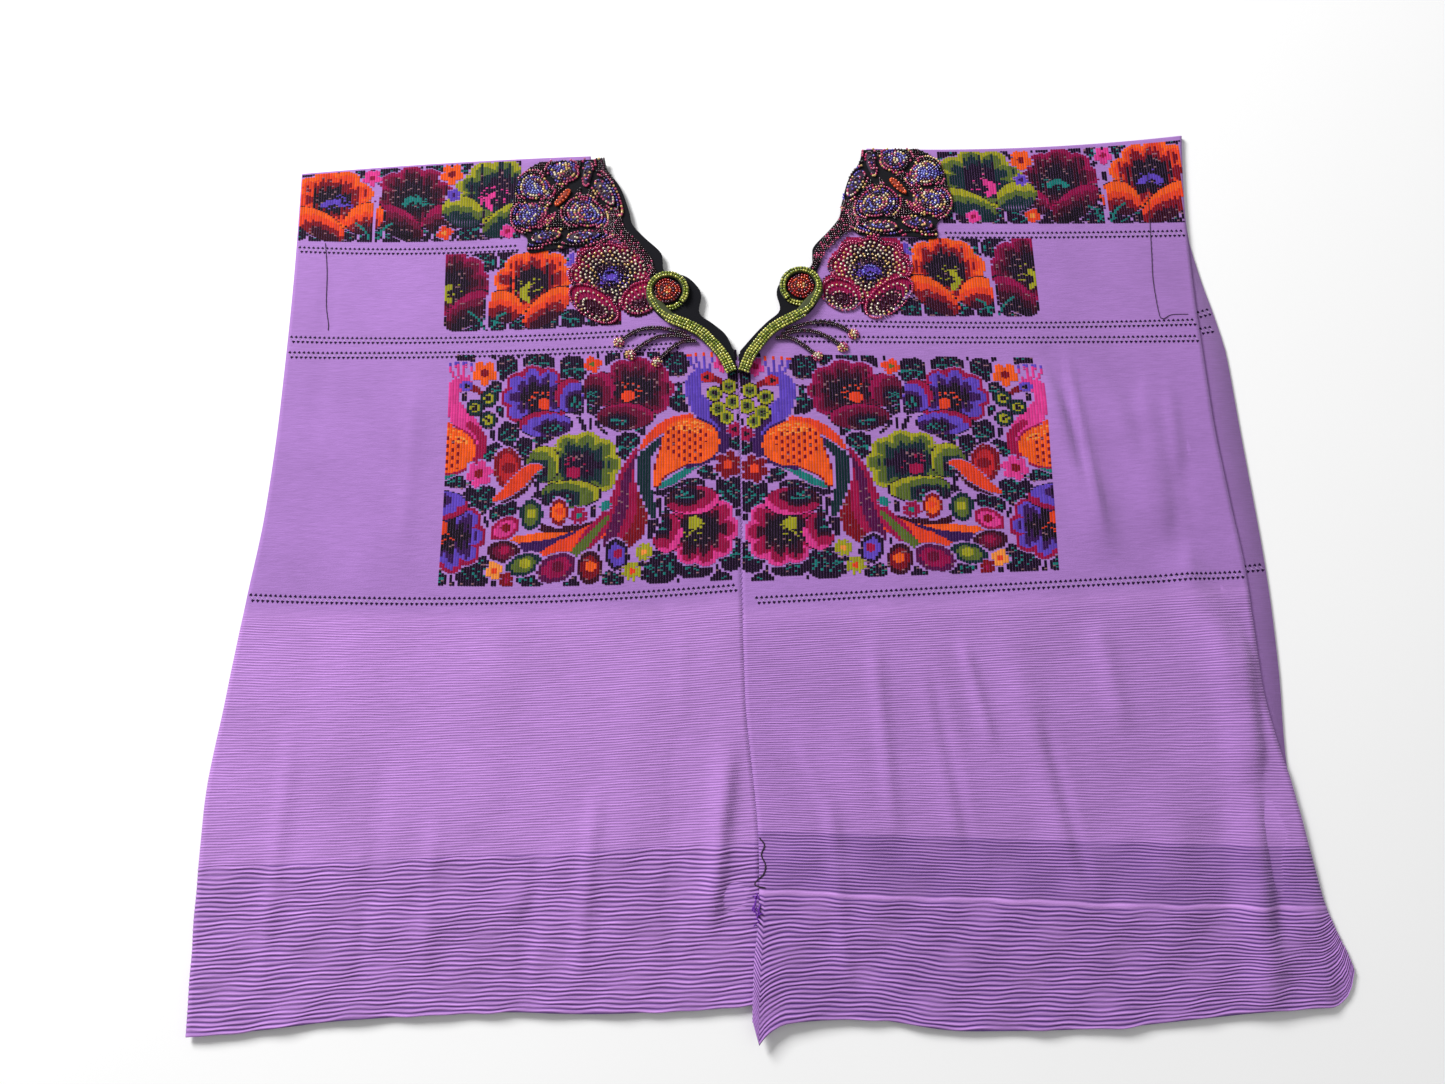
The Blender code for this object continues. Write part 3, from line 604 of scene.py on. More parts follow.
def stroke(chart, route, colour, gap=0.0):
    """A band along a smooth route of (out, up, half width)."""
    points = np.array([route[0], *route, route[-1]], float)
    near = np.zeros(chart.ink.shape, bool)
    for before, start, stop, after in zip(points, points[1:], points[2:], points[3:]):
        steps = max(3, int(np.hypot(*(stop - start)[:2]) / STROKE_STEP))
        for t in np.linspace(0, 1, steps + 1):
            out, up, half = between(before, start, stop, after, t)
            near |= np.hypot(chart.out[None, :] - out, chart.up[:, None] - up) < half + gap
    chart.paint(near, colour)


def outlined_stroke(chart, route, colour, gap=GAP):
    """A band with a line of plain cloth round it."""
    stroke(chart, route, None, gap)
    stroke(chart, route, colour)


Blossom = namedtuple("Blossom", "out up radius petals colour heart")


def blossom(chart, flower):
    """A small round flower."""
    p, q = chart.around(flower.out, flower.up)
    share = lobed(p / flower.radius, q / flower.radius, flower.petals, 0.45, 0.3)
    chart.paint(share < 1.16, None)
    chart.paint(share < 1, flower.colour)
    chart.paint(np.hypot(p, q) < 0.32 * flower.radius, flower.heart)


Pod = namedtuple("Pod", "out up length width turn skin inside eye")


def pod(chart, shape):
    """An eye-shaped drop with a ring of colour and a spot."""
    share = chart.oval(*shape[:5])
    chart.paint(share < 1 + 2 * GAP / shape.width, None)
    chart.paint(share + 0.03 * chart.rag < 1, shape.skin)
    chart.paint(share + 0.04 * chart.rag < 0.70, shape.inside)
    spot = chart.oval(shape.out - 1, shape.up + 1, 0.32 * shape.length, 0.4 * shape.width)
    chart.paint(spot < 1, shape.eye)


Berry = namedtuple("Berry", "out up radius")


def berry(chart, fruit, skin, flesh):
    """A round berry with a dark centre."""
    share = chart.oval(fruit.out, fruit.up, 2 * fruit.radius, 2 * fruit.radius)
    chart.paint(share < 1.14, "black")
    chart.paint(share < 1, skin)
    chart.paint(share < 0.62, flesh)
    chart.paint((share < 0.4) & (chart.fleck < 0.75), "black")


# The birds face the middle line. Their parts are routes of (out, up, half width) up the field
Feather = namedtuple("Feather", "colour route")
NECK = (
    (29, 180, 6), (38, 178, 6.5), (41, 170, 6.5), (39, 160, 7), (33, 150, 9), (25, 140, 10), (19, 130, 8),
    (18, 119, 5.5), (24, 110, 4), (42, 102, 2.6),
)
NECK_SHADE = ((24, 143, 3), (14, 133, 4), (13, 122, 4), (17, 111, 4), (30, 105, 3.4), (46, 99, 2.4))
BEAK = ((24, 177, 3), (18, 175, 2.6), (14.5, 170, 1.6))
LEG = ((14, 114, 1.8), (28, 105, 2.2), (44, 97, 2.8), (58, 88, 3.2), (69, 83, 2.4))
CREST = (
    ((38, 186, 1.4), (42, 193, 1.4), (43, 199, 1.8)),
    ((34, 187, 1.4), (36, 193, 1.4), (37, 200, 1.8)),
    ((30, 187, 1.4), (30, 193, 1.4), (30, 200, 1.8)),
    ((26, 186, 1.4), (24, 192, 1.4), (23, 199, 1.8)),
)
WING_EDGE = ((86, 117, 2), (76, 128, 4), (62, 137, 5), (44, 141, 4.6))
WING_TIP = ((56, 112, 14), (64, 103, 9), (70, 94, 5), (73, 85, 2.4))
WING_OUT = 43.0
WING_UP = 121.0
WING_HALF_LENGTH = 25.0
WING_HALF_WIDTH = 20.0
TAIL = table(
    Feather,
    ("dark_maroon", ((120, 52, 1), (137, 49, 1.8), (160, 46, 2), (173, 50, 1.4))),
    ("orange", ((126, 48, 1.4), (149, 40.5, 2.8), (170, 39.5, 3.6), (194, 37, 3))),
    ("purple", ((117, 54, 1.4), (137, 43.6, 2.6), (162, 35, 3), (188, 32.5, 2))),
    ("flame", ((106, 64, 3), (121, 48, 5.6), (139, 37, 6.4), (158, 28.5, 5.6), (172, 22.5, 2.6))),
    (
        "crimson",
        ((89, 113, 2.2), (99.5, 95, 3.4), (106, 75, 4), (115, 57, 4.6), (128, 42, 5.4), (137, 31, 3.6)),
    ),
    ("wine", ((87, 110, 2), (96, 91, 4), (98.5, 73, 5.2), (103, 56, 6), (113, 36, 4))),
    ("crimson", ((86, 107, 2), (90, 90, 3.6), (90.5, 73, 4), (94.5, 54, 4.4), (103, 37, 3))),
    ("dark_red", ((84, 100, 2), (83, 78, 4.4), (83.5, 60.5, 5), (89, 46, 5), (98, 35, 3))),
    ("olive", ((115, 57, 0.2), (127, 43.5, 1.6), (138, 31, 2.6), (146, 22, 1.4))),
)
INNER_TAIL = (
    (64, 127, 2), (76, 119, 4.6), (83, 109, 5.6), (85, 95, 5.8), (83, 82, 5.2), (79, 69, 4.2), (76, 58, 3),
)
TAIL_SHADOW = ((71, 70, 3), (75, 54, 4.4), (79, 40, 2.6))
BirdColours = namedtuple("BirdColours", "body shade face crest_tip")


def bird(chart, out, up, colours, whole):
    """A bird with a crest, a scalloped wing and, where it is whole, a long swept tail."""

    def moved(route):
        return [(out + a, up + b, half) for a, b, half in route]

    if whole:
        for feather in TAIL:
            stroke(chart, feather.route, None, GAP + 1.6)
        for feather in TAIL:
            stroke(chart, feather.route, feather.colour, 1.8)
        outlined_stroke(chart, TAIL_SHADOW, "ink")
        outlined_stroke(chart, INNER_TAIL, "dark_teal")
    outlined_stroke(chart, moved(LEG), "teal", 1.2)
    outlined_stroke(chart, moved(NECK), colours.body, 1.8)
    stroke(chart, moved(NECK_SHADE), colours.shade)
    for line in CREST:
        stroke(chart, moved(line), colours.body)
        stroke(chart, moved(line[-1:] * 2), colours.crest_tip)
    stroke(chart, moved(BEAK), "dark_red")
    for a, b, length, width, colour in (
        (31, 180, 17, 13, colours.body), (28, 178.5, 12, 10, colours.face), (28, 178.5, 5, 5, "black"),
    ):
        chart.paint(chart.oval(out + a, up + b, length, width) < 1, colour)
    p, q = chart.around(out + WING_OUT, up + WING_UP, 10)
    share = np.hypot(p / WING_HALF_LENGTH, q / WING_HALF_WIDTH)
    chart.paint(share < 1.10, colours.shade)
    stroke(chart, moved(WING_TIP), "dark_red", 1.2)
    stroke(chart, moved(WING_EDGE), None, GAP)
    stroke(chart, moved(WING_EDGE), "flame")
    stroke(chart, moved(WING_TIP), "orange")
    chart.paint(share < 1, "orange")
    chart.paint((share < 0.9) & (q > 8) & (chart.fleck < 0.35), "amber")
    column = (chart.out / COLUMN).astype(int)[None, :]
    scales = (column % 2 == 0) & ((chart.up[:, None] + 3.45 * (column // 2 % 2)) % 6.9 < 2.9)
    chart.paint(scales & (share < 0.93) & (p > -13) & (q < 12), "dark_red")


# How the ground between the motifs is filled: dark patches cut by slanting lines of plain cloth
CUT_EVERY = (27.0, 19.0)
CUT_WIDE = 1.6
CUT_TURN = 38
CUT_SWAY = 3
VEIN_EVERY = 7.0
VEIN_WIDE = 1.6
VEIN_KEPT = 0.6


def grown(mask, columns, rows):
    """A mask widened by so many columns and rows each way."""
    wide = mask.copy()
    for step in range(1, columns + 1):
        wide[:, step:] |= mask[:, :-step]
        wide[:, :-step] |= mask[:, step:]
    tall = wide.copy()
    for step in range(1, rows + 1):
        tall[step:] |= wide[:-step]
        tall[:-step] |= wide[step:]
    return tall


def fill_ground(chart, first=0.0):
    """Dark leaves in what is left between the motifs, parted from them by a thin line of plain cloth."""
    free = ~grown(chart.ink != NONE, 1, 1) & (chart.out[None, :] > first)
    p, q = chart.around(0, 0, CUT_TURN)
    free &= (p + CUT_SWAY * np.sin(q / 7)) % CUT_EVERY[0] > CUT_WIDE
    free &= (q + CUT_SWAY * np.sin(p / 6)) % CUT_EVERY[1] > CUT_WIDE
    leaves = grown(~grown(~free, 0, 2), 0, 2) & free
    chart.paint(leaves, "ink")
    from_cut = np.abs(q % CUT_EVERY[1] - CUT_EVERY[1] / 2)
    veins = ((p + 0.8 * from_cut) % VEIN_EVERY < VEIN_WIDE) & (chart.fleck < VEIN_KEPT)
    chart.paint(veins & ~grown(~leaves, 1, 1), "teal")


DARK_THREADS = ("ink", "black", "dark_maroon", "maroon", "wine", "dark_red")
FLECKED = 0.03


def flecks(chart):
    """Pale ground threads that show here and there through the dark colours."""
    for colour in DARK_THREADS:
        chosen = (chart.ink == INK[colour]) & (RANDOM.random(chart.ink.shape) < FLECKED)
        chart.paint(chosen, "speck")


VIOLET_POPPY = Colours("crimson", "blue_violet", "purple", "black", "flame")
MAROON_POPPY = Colours("berry", "maroon", "dark_maroon", "black", "flame")
OLIVE_POPPY = Colours("lime", "olive", "dark_teal", "ink", "crimson")
PINK_POPPY = Colours("pink", "crimson", "dark_maroon", "black", "lime")
ORANGE_POPPY = Colours("orange", "flame", "dark_red", "black", "lime")
VIOLET_BIRD = BirdColours("blue_violet", "purple", "red", "flame")
PINK_BIRD = BirdColours("pink", "crimson", "blue_violet", "blue_violet")

# Where a chart's lower edge lies at the middle line, how far it leans up the cloth for each millimetre out,
# and how closely its rows and its columns are packed
Patch = namedtuple("Patch", "bottom lean packed wide")
FIELD = {"left": Patch(409, 0.025, 1.02, 1.0), "right": Patch(403, -0.018, 0.95, 1.045)}
FIELD_LEAVES = table(
    Leaf, (205, 188, 16, 23, 0), (177, 195, 22, 14, 0), (147, 189, 19, 20, 0), (56, 191.5, 18, 18, 0),
    (51, 161, 18, 21, 0), (4, 180, 9, 12, 0), (216, 170, 12, 14, 0), (203, 125, 15, 26, 0),
    (175, 128, 27, 12, -24), (143, 156, 11, 15, 0), (129, 160, 10, 22, 0), (99, 136, 28, 11, 16),
    (98, 117, 19, 21, 0), (190, 113, 13, 23, 10), (4, 119, 9, 12, 0), (246, 88, 21, 9, 6),
    (225, 73, 23, 21, 0), (205, 63, 21, 12, -25), (154, 73, 31, 10, 0), (27, 93, 17, 10, 12),
    (10, 76, 19, 25, 0), (49, 79, 28, 13, -14), (69, 60, 13, 34, 0), (9, 22, 16, 23, 0),
    (39, 12, 24, 14, 0), (70, 14, 27, 22, 0), (258, 6, 13, 12, 0), (228, 12, 23, 24, 0),
    (180, 5, 18, 9, 14), (109, 6, 17, 10, 0), (217, 114, 17, 11, -28), (158, 148, 9, 12, 0),
)
FIELD_BLOSSOMS = table(
    Blossom, (225, 186, 12, 5, "orange", "dark_red"), (129, 193, 8, 4, "flame", "olive"),
    (14, 191, 9, 5, "pink", "crimson"), (227, 95, 12, 6, "pink", "dark_red"),
    (117, 67, 5, 8, "teal", "teal"), (140, 59, 8, 8, "crimson", "teal"), (83, 27, 8, 8, "lime", "amber"),
    (93, 11, 8.5, 8, "lime", "flame"), (11, 99, 12.5, 6, "dark_red", "flame"),
    (5, 130, 7, 6, "crimson", "black"), (210, 13, 8, 4, "amber", "flame"),
    (199, 5, 7, 6, "dark_red", "crimson"),
)
FIELD_PODS = table(
    Pod, (181, 60, 26, 20, 90, "dark_teal", "olive", "lime"),
    (157, 62, 23, 15, 90, "dark_red", "orange", "flame"),
    (203, 48, 28, 18, 150, "crimson", "pink", "dark_red"),
    (203, 29, 28, 18, 5, "dark_maroon", "maroon", "crimson"),
    (185, 18, 31, 18, 162, "dark_teal", "olive", "lime"), (157, 15, 34, 23, 160, "wine", "berry", "maroon"),
    (129, 15, 28, 22, 85, "dark_maroon", "dark_red", "orange"),
    (106, 25, 27, 20, 75, "ink", "blue_violet", "crimson"),
)
SEAM_BERRIES = table(Berry, (22, 163, 6.5), (9, 169, 6.5), (19, 149, 6.5), (6, 155, 6.5), (12, 141, 6))
OUTER_BERRIES = table(Berry, (221, 162, 7), (233, 153.5, 7), (221, 142.5, 7))
FIELD_STEMS = (
    ((143, 148, 1.6), (138, 138, 2), (134, 128, 1.4)),
    ((122, 150, 1.2), (126, 140, 1.6), (118, 130, 1.2)),
    ((178, 92, 1.8), (176, 78, 2.4), (186, 68, 1.6)),
    ((88, 96, 1.4), (80, 84, 2), (78, 74, 1.4)),
    ((168, 50, 1.2), (156, 47, 1.4), (140, 49, 1.2)),
)
BUD_PETAL = ((175, 101, 2.4), (183, 98, 5), (192, 89, 6.4), (203, 79, 4.4), (212, 73, 2))
BUD_SHADE = ((182, 90, 3), (192, 80, 4), (206, 72, 2))
DRAWN_BY = {Leaf: leaf, Poppy: poppy, Blossom: blossom, Pod: pod}


def draw(chart, kind, *rows):
    """Draws motifs of one kind, one after another."""
    for row in rows:
        DRAWN_BY[kind](chart, kind(*row))


def field_chart():
    """The big patterned block below the neck, which both lengths carry as mirror images."""
    chart = Chart(0.7, 257, 204)
    for route in FIELD_STEMS:
        outlined_stroke(chart, route, "ink")
    draw(chart, Leaf, *FIELD_LEAVES)
    draw(chart, Poppy, (257, 46, 74, 72, 1, 180, VIOLET_POPPY))
    bird(chart, 213, -5, PINK_BIRD, False)
    draw(
        chart, Poppy, (173, 159, 72, 68, 1, 0, VIOLET_POPPY), (98, 165, 78, 68, -1, 0, MAROON_POPPY),
        (145, 98, 80, 68, -1, 0, OLIVE_POPPY), (40, 48, 72, 72, 1, 180, PINK_POPPY),
    )
    bird(chart, 0, 0, VIOLET_BIRD, True)
    draw(chart, Pod, (202, 99, 38, 25, 80, "dark_red", "red", "dark_red"))
    outlined_stroke(chart, BUD_SHADE, "dark_maroon", 1)
    outlined_stroke(chart, BUD_PETAL, "flame", 1)
    draw(chart, Pod, *FIELD_PODS)
    draw(chart, Blossom, *FIELD_BLOSSOMS)
    for fruit in SEAM_BERRIES:
        berry(chart, fruit, "lime", "olive")
    for fruit in OUTER_BERRIES:
        berry(chart, fruit, "dark_teal", "lime")
    fill_ground(chart)
    flecks(chart)
    return chart


# A stem left in plain cloth, and the curved teal threads at its foot, as (out, up, half width) from its foot
PALE_STEM = ((0, 0, 1.2), (1, 24, 1.7), (-1, 42, 1.7), (-2, 53, 3.4), (-1, 60, 1.6))
TEAL_CURVES = (((4, 2, 1.0), (9, 12, 1.3), (18, 20, 1.0)), ((-4, 3, 1.0), (-9, 14, 1.3), (-16, 18, 1.0)))


def pale_stem(chart, out):
    """A bare stem with a bulb, between two flowers."""
    for route in TEAL_CURVES:
        stroke(chart, [(out + a, b, half) for a, b, half in route], "teal")
    stroke(chart, [(out + a, b, half) for a, b, half in PALE_STEM], None)


# The flowers of the shoulder band lie a little differently on the two lengths
SHOULDER_PATCH = {"left": Patch(78, 0.0, 1.0, 1.0), "right": Patch(74, -0.008, 0.96, 1.0)}
SHOULDER_HIGH = 77.0
SHOULDER = {"left": (366, 291, 218, 208), "right": (387, 301, 234, 234)}
LEAF_STEP = 23.0


def shoulder_chart(side):
    """The patterned band along the shoulder, from the big beaded flower to the side edge."""
    orange, maroon, olive, wide = SHOULDER[side]
    chart = Chart(194, wide, SHOULDER_HIGH)
    for k in range(int(wide / LEAF_STEP) + 1):
        draw(chart, Leaf, (204 + LEAF_STEP * k, 69, 20, 17, 0), (196 + LEAF_STEP * k, 9, 21, 17, -14))
    draw(
        chart, Poppy, (maroon, 37, 78, 72, 1, 45, MAROON_POPPY._replace(heart="teal"), 1.18, "black"),
        (olive, 39, 76, 76, -1, -38, OLIVE_POPPY._replace(heart="pink"), 1.25, "dark_teal"),
        (orange, 38, 84, 76, 1, 40, ORANGE_POPPY._replace(heart="blue_violet"), 1.12, "dark_maroon"),
    )
    inner, outer = (maroon + olive) / 2, (orange + maroon) / 2
    draw(
        chart, Blossom, (inner + 4, 67, 11, 5, "orange", "dark_red"),
        (inner + 2, 46, 6.5, 6, "blue_violet", "purple"), (outer + 4, 68, 9, 5, "pink", "crimson"),
        (inner + 9, 8, 7.5, 4, "flame", "amber"), (olive - 12, 7, 7, 4, "pink", "crimson"),
    )
    fill_ground(chart)
    pale_stem(chart, outer)
    flecks(chart)
    return chart


THROAT = {"left": Patch(171, 0.0, 1.0, 1.0), "right": Patch(173, 0.0, 1.03, 1.0)}
THROAT_HIGH = 79.0
THROAT_SHIFT = {"left": 0.0, "right": 11.0}


def throat_chart(side):
    """The short patterned band beside the beaded poppy."""
    shift = THROAT_SHIFT[side]
    chart = Chart(60 + shift, 201, THROAT_HIGH)
    for k in range(6):
        along = shift + LEAF_STEP * k
        draw(chart, Leaf, (136 + along, 70, 21, 16, 0), (126 + along, 9, 22, 15, 12))
    draw(chart, Leaf, (134 + shift, 50, 16, 14, 0))
    draw(
        chart, Poppy, (256 + shift, 40, 78, 80, -1, -45, MAROON_POPPY._replace(heart="lime"), 1.0, "black"),
        (184 + shift, 39, 82, 76, -1, -45, ORANGE_POPPY, 1.05, "dark_maroon"),
    )
    draw(
        chart, Blossom, (140 + shift, 66, 11.5, 6, "blue_violet", "purple"),
        (134 + shift, 40, 6, 5, "lime", "olive"), (120 + shift, 7, 6.5, 5, "flame", "amber"),
    )
    flower = BEADED_POPPY[side]
    size = (flower.length, flower.width)
    draw(chart, Poppy, (flower.out, THROAT_HIGH / 2 + 1, *size, 1, 45, BEADED_GROUND, 1.0, "dark_maroon"))
    fill_ground(chart, flower.out + 14)
    pale_stem(chart, 222 + shift)
    flecks(chart)
    return chart


# The flower of seed beads on the cloth: its middle, how wide and high it is, and the threads under it
Petal = namedtuple("Petal", "out y length width turn")
BEADED_POPPY = {"left": Petal(110, 254, 90, 80, 0), "right": Petal(122, 250, 90, 80, 0)}
BEADED_GROUND = Colours("crimson", "berry", "dark_maroon", "black", "blue_violet")


def brocade(name, panel, chart, patch, finish):
    """Raised threads for a chart: one rounded ridge for each stretch of a column that is in one colour."""
    stretches = []
    for column in range(len(chart.out)):
        ink = chart.ink[:, column]
        starts = np.flatnonzero(np.diff(ink, prepend=NONE - 1))
        for start, stop in zip(starts, [*starts[1:], len(ink)]):
            for first in range(start, stop, LONGEST_FLOAT) if ink[start] != NONE else ():
                stretches.append((column, first, min(stop, first + LONGEST_FLOAT), ink[start]))
    column, first, last, ink = np.array(stretches).T
    way = outwards(panel.side)
    away, pitch = patch.wide * chart.out[column], ROW * patch.packed
    lean = patch.lean * away
    low_drop = patch.bottom - lean - first * pitch
    middle = seam_x(panel, low_drop) + way * away
    side_x, inner_x = front_edges(panel, low_drop)
    on_cloth = (way * (side_x - middle) > COLUMN / 2) & (way * (middle - inner_x) > COLUMN / 2)
    on_cloth &= patch.bottom - lean - last * pitch > 0
    away, first, last, ink, lean = (part[on_cloth] for part in (away, first, last, ink, lean))
    points = []
    for row in (first, last):
        drop = patch.bottom - lean - row * pitch
        for offset, height in ((-RIDGE_HALF, RIDGE_FOOT), (0.0, RIDGE), (RIDGE_HALF, RIDGE_FOOT)):
            x = seam_x(panel, drop) + way * (away + offset * patch.wide * COLUMN)
            points.append(on_front(panel, x, drop, height))
    points = np.stack(points, 1)
    base = 6 * np.arange(len(away))[:, None]
    faces = np.concatenate([base + np.array(quad)[None, :] for quad in ((0, 1, 4, 3), (1, 2, 5, 4))])
    if panel.side == "left":
        faces = faces[:, ::-1]
    palette = np.array(list(THREAD.values()))
    shades = palette[ink] * RANDOM.uniform(*THREAD_SHADES, (len(ink), 1))
    return new_mesh(name, points, faces, finish, np.repeat(shades, 6, axis=0))


# Openwork: which weft line it lies on and how far out it stops
Openwork = namedtuple("Openwork", "line stop")
OPENWORK = table(Openwork, (1, 192), (2, 66), (3, 48), (4, 3))
EYELET_PITCH = 4.2
EYELET_LONG = 1.5
EYELET_HIGH = 1.85
EYELET_APART = 2.1
EYELET_ASIDE = 1.05
EYELET_LIFT = 0.12
# A bundle of threads between the eyelets: where its ends lie, and its profile as place aside and height
BUNDLE_ENDS = ((-1.9, -1.5), (1.9, 1.5))
BUNDLE_PROFILE = ((-0.5, 0.08), (0, 0.62), (0.5, 0.08))
PALE_STITCH = screen(214, 176, 236)
# The eyelets are not cut: each is a dark patch, painted shade for the hole and the shadowed cloth behind it
EYELET_HOLE_SHADE = screen(40, 18, 58)
# Where the right back layer shows openwork beside the front: X and Y of each end
BACK_OPENWORK = ((409, 205, 421, 208), (409, 189, 423, 191), (416, -29, 432, -28))


def openwork(panel, finish):
    """Two lines of eyelets in each openwork row, each a flat dark patch of painted shade for a hole, with pale
    bundled threads slanting between them.
    """
    points, faces, shades = [], [], []

    def holes(x, down):
        for dx, apart in ((-EYELET_ASIDE, -EYELET_APART), (EYELET_ASIDE, EYELET_APART)):
            slant = RANDOM.uniform(0.1, 0.5)
            corners = ((-EYELET_LONG, 0), (slant, -EYELET_HIGH), (EYELET_LONG, 0), (-slant, EYELET_HIGH))
            at = len(points)
            points.extend((x + dx + a, down + apart + b, EYELET_LIFT) for a, b in corners)
            faces.append((at, at + 1, at + 2, at + 3))
            shades.extend([EYELET_HOLE_SHADE] * 4)
        at = len(points)
        for a, b in BUNDLE_ENDS:
            points.extend((x + a + c, down + b, high) for c, high in BUNDLE_PROFILE)
        faces.extend([(at, at + 1, at + 4, at + 3), (at + 1, at + 2, at + 5, at + 4)])
        shades.extend([PALE_STITCH] * 6)

    for row in OPENWORK:
        drop = float(panel.lines[row.line].drop)
        side_x = float(front_edges(panel, np.array(drop))[0])
        reach = abs(side_x - MIDDLE_X) - row.stop - EYELET_PITCH
        for k in range(int(reach / EYELET_PITCH)):
            holes(side_x - outwards(panel.side) * (k + 1) * EYELET_PITCH, drop)
    in_front = len(points)
    for x0, y0, x1, y1 in BACK_OPENWORK if panel.side == "right" else ():
        for k in range(round((x1 - x0) / EYELET_PITCH)):
            holes(x0 + k * EYELET_PITCH, -(y0 + (y1 - y0) * k * EYELET_PITCH / (x1 - x0)))
    x, down, height = np.array(points).T
    places = on_front(panel, x[:in_front], down[:in_front], height[:in_front])
    behind = np.stack([x[in_front:], -down[in_front:], CLOTH + height[in_front:]], -1)
    places = np.concatenate([places, behind])
    return new_mesh(f"openwork_{panel.side}", places, faces, finish, np.array(shades))


# The neck's trim, repeated from the solids
TrimPoint = namedtuple("TrimPoint", "out y")
FACING_SHOWS = {"left": 9.0, "right": 1.0}
FACING_RUN = 20.0
FACING_TOP_Y = 382.0
FACING_INNER = table(
    TrimPoint, (0.3, 163), (9, 167), (20, 184), (32, 198), (44, 206), (57, 212), (69, 221), (76.5, 233),
    (78.5, 245), (75.5, 258), (79, 266), (84, 279), (96, 291), (108, 300), (121, 293), (160, 291),
    (186, 288), (188, 303), (201, 314), (204, 328), (199, 345), (197, 362), (187, 374), (176, 381),
)
SCROLL_STEM = table(
    TrimPoint, (5.6, 164), (11.5, 178), (21, 191), (31, 202), (43, 209.5), (56, 216), (67, 223.5),
)
SCROLL_STEM_RADIUS = 5.0
SCROLL_RING_RADIUS = 3.0
SCROLL_FLATNESS = 0.36
RING_CENTRE = (60.0, 244.0)
RING_RADIUS = 16.5
RING_START = math.radians(-55)
RING_SWEEP = math.radians(275)
ROSETTE_RADIUS = 11.0
TENDRILS = (
    table(TrimPoint, (45, 202), (60, 207), (76, 209), (90, 206), (101, 199)),
    table(TrimPoint, (41, 198.5), (56, 201), (70, 200), (82, 194), (91, 187)),
    table(TrimPoint, (36, 195), (48, 194.5), (58, 188.5), (68, 179.5)),
)
CLUSTER_RADIUS = 4.2
CLUSTER_HEIGHT = 2.6
PETALS = table(
    Petal, (153, 368, 26, 20, 5), (180, 354, 27, 24, 15), (182, 325, 30, 24, -15), (134, 325, 34, 26, 30),
    (116, 346, 32, 12, 60), (132, 366, 25, 9, 98), (170, 303, 28, 11, -10), (136, 302, 31, 11, -6),
    (155, 342, 22, 6, 130),
)
PETAL_TAPER = 0.15
PETAL_HEIGHT = 2.2

BEAD = screens(
    gold=(250, 206, 128), rose=(214, 86, 132), violet=(100, 78, 196), blue=(142, 146, 240),
    plum=(84, 16, 56), magenta=(196, 40, 104), cream=(255, 240, 210), green=(140, 158, 40),
    lime_gold=(222, 222, 104), red=(188, 24, 24), orange=(250, 96, 36), brown=(58, 28, 34),
    black=(20, 13, 20),
)
BEAD_ROUND = 8
BEAD_PITCH = 2.55
BEAD_LEVELS = (-50, 0, 50)
BEAD_SUNK = 0.35
# Each bead's colour is scaled at random: partly real unevenness between beads, and the reach above one is
# painted glint
BEAD_TONES_AND_GLINT = (0.8, 1.3)
BEAD_JITTER = 0.14
BEAD_SIZES = (0.88, 1.0)
BEAD_FLATNESS = 0.86
FIRST_RING = 0.98
PAD_ENDS = 0.97
# Heights of the middles of beads over what they are sewn on
PETAL_RIM_BEAD = 1.0
FILLER_BEAD = 0.7
RING_BEAD = 1.1
BOSS_BASE = 0.9
TENDRIL_BEAD = 1.9
CLUSTER_TOP_BEAD = 0.5
POPPY_BEAD = 1.2
STRIP_BEAD = 0.8
ON_VELVET = CLOTH_BASE + FACING_THICK


def turns(number):
    """This many angles, evenly round a circle."""
    return [2 * math.pi * k / number for k in range(number)]


def bead_shape():
    """One small bead: points on a ball, a little flattened, and its faces."""
    points = [(0, 0, -1)]
    for level in BEAD_LEVELS:
        radius, z = math.cos(math.radians(level)), math.sin(math.radians(level))
        points += [(radius * math.cos(angle), radius * math.sin(angle), z) for angle in turns(BEAD_ROUND)]
    points.append((0, 0, 1))
    faces = []
    top = len(points) - 1
    for k in range(BEAD_ROUND):
        after = (k + 1) % BEAD_ROUND
        faces.append((0, 1 + after, 1 + k))
        for ring in range(len(BEAD_LEVELS) - 1):
            a, b = 1 + ring * BEAD_ROUND, 1 + (ring + 1) * BEAD_ROUND
            faces += [(a + k, a + after, b + after), (a + k, b + after, b + k)]
        last = 1 + (len(BEAD_LEVELS) - 1) * BEAD_ROUND
        faces.append((last + k, last + after, top))
    return np.array(points, float) * (1, 1, BEAD_FLATNESS), np.array(faces)


class Beads:
    """Places, sizes and colours of beads that become one mesh."""

    def __init__(self, side):
        self.side = side
        self.rows = []

    def add(self, out, y, z, colours, size=BEAD_PITCH):
        """A bead this far out from the middle line, at this Y, with its middle at this height."""
        colour = BEAD[colours[RANDOM.integers(len(colours))]]
        shade = RANDOM.uniform(*BEAD_TONES_AND_GLINT)
        jitter = RANDOM.normal(0, BEAD_JITTER, 2)
        x = MIDDLE_X + outwards(self.side) * (out + jitter[0])
        radius = size / 2 * RANDOM.uniform(*BEAD_SIZES)
        self.rows.append((x, y + jitter[1], z, radius, *(shade * v for v in colour)))

    def make(self, name, finish):
        """All the beads as one mesh."""
        shape, faces = bead_shape()
        rows = np.array(self.rows)
        points = rows[:, None, :3] + shape[None] * rows[:, None, 3:4]
        steps = len(shape) * np.arange(len(rows))[:, None, None]
        colours = np.repeat(rows[:, 4:], len(shape), axis=0)
        return new_mesh(name, points, (faces[None] + steps).reshape(-1, 3), finish, colours)


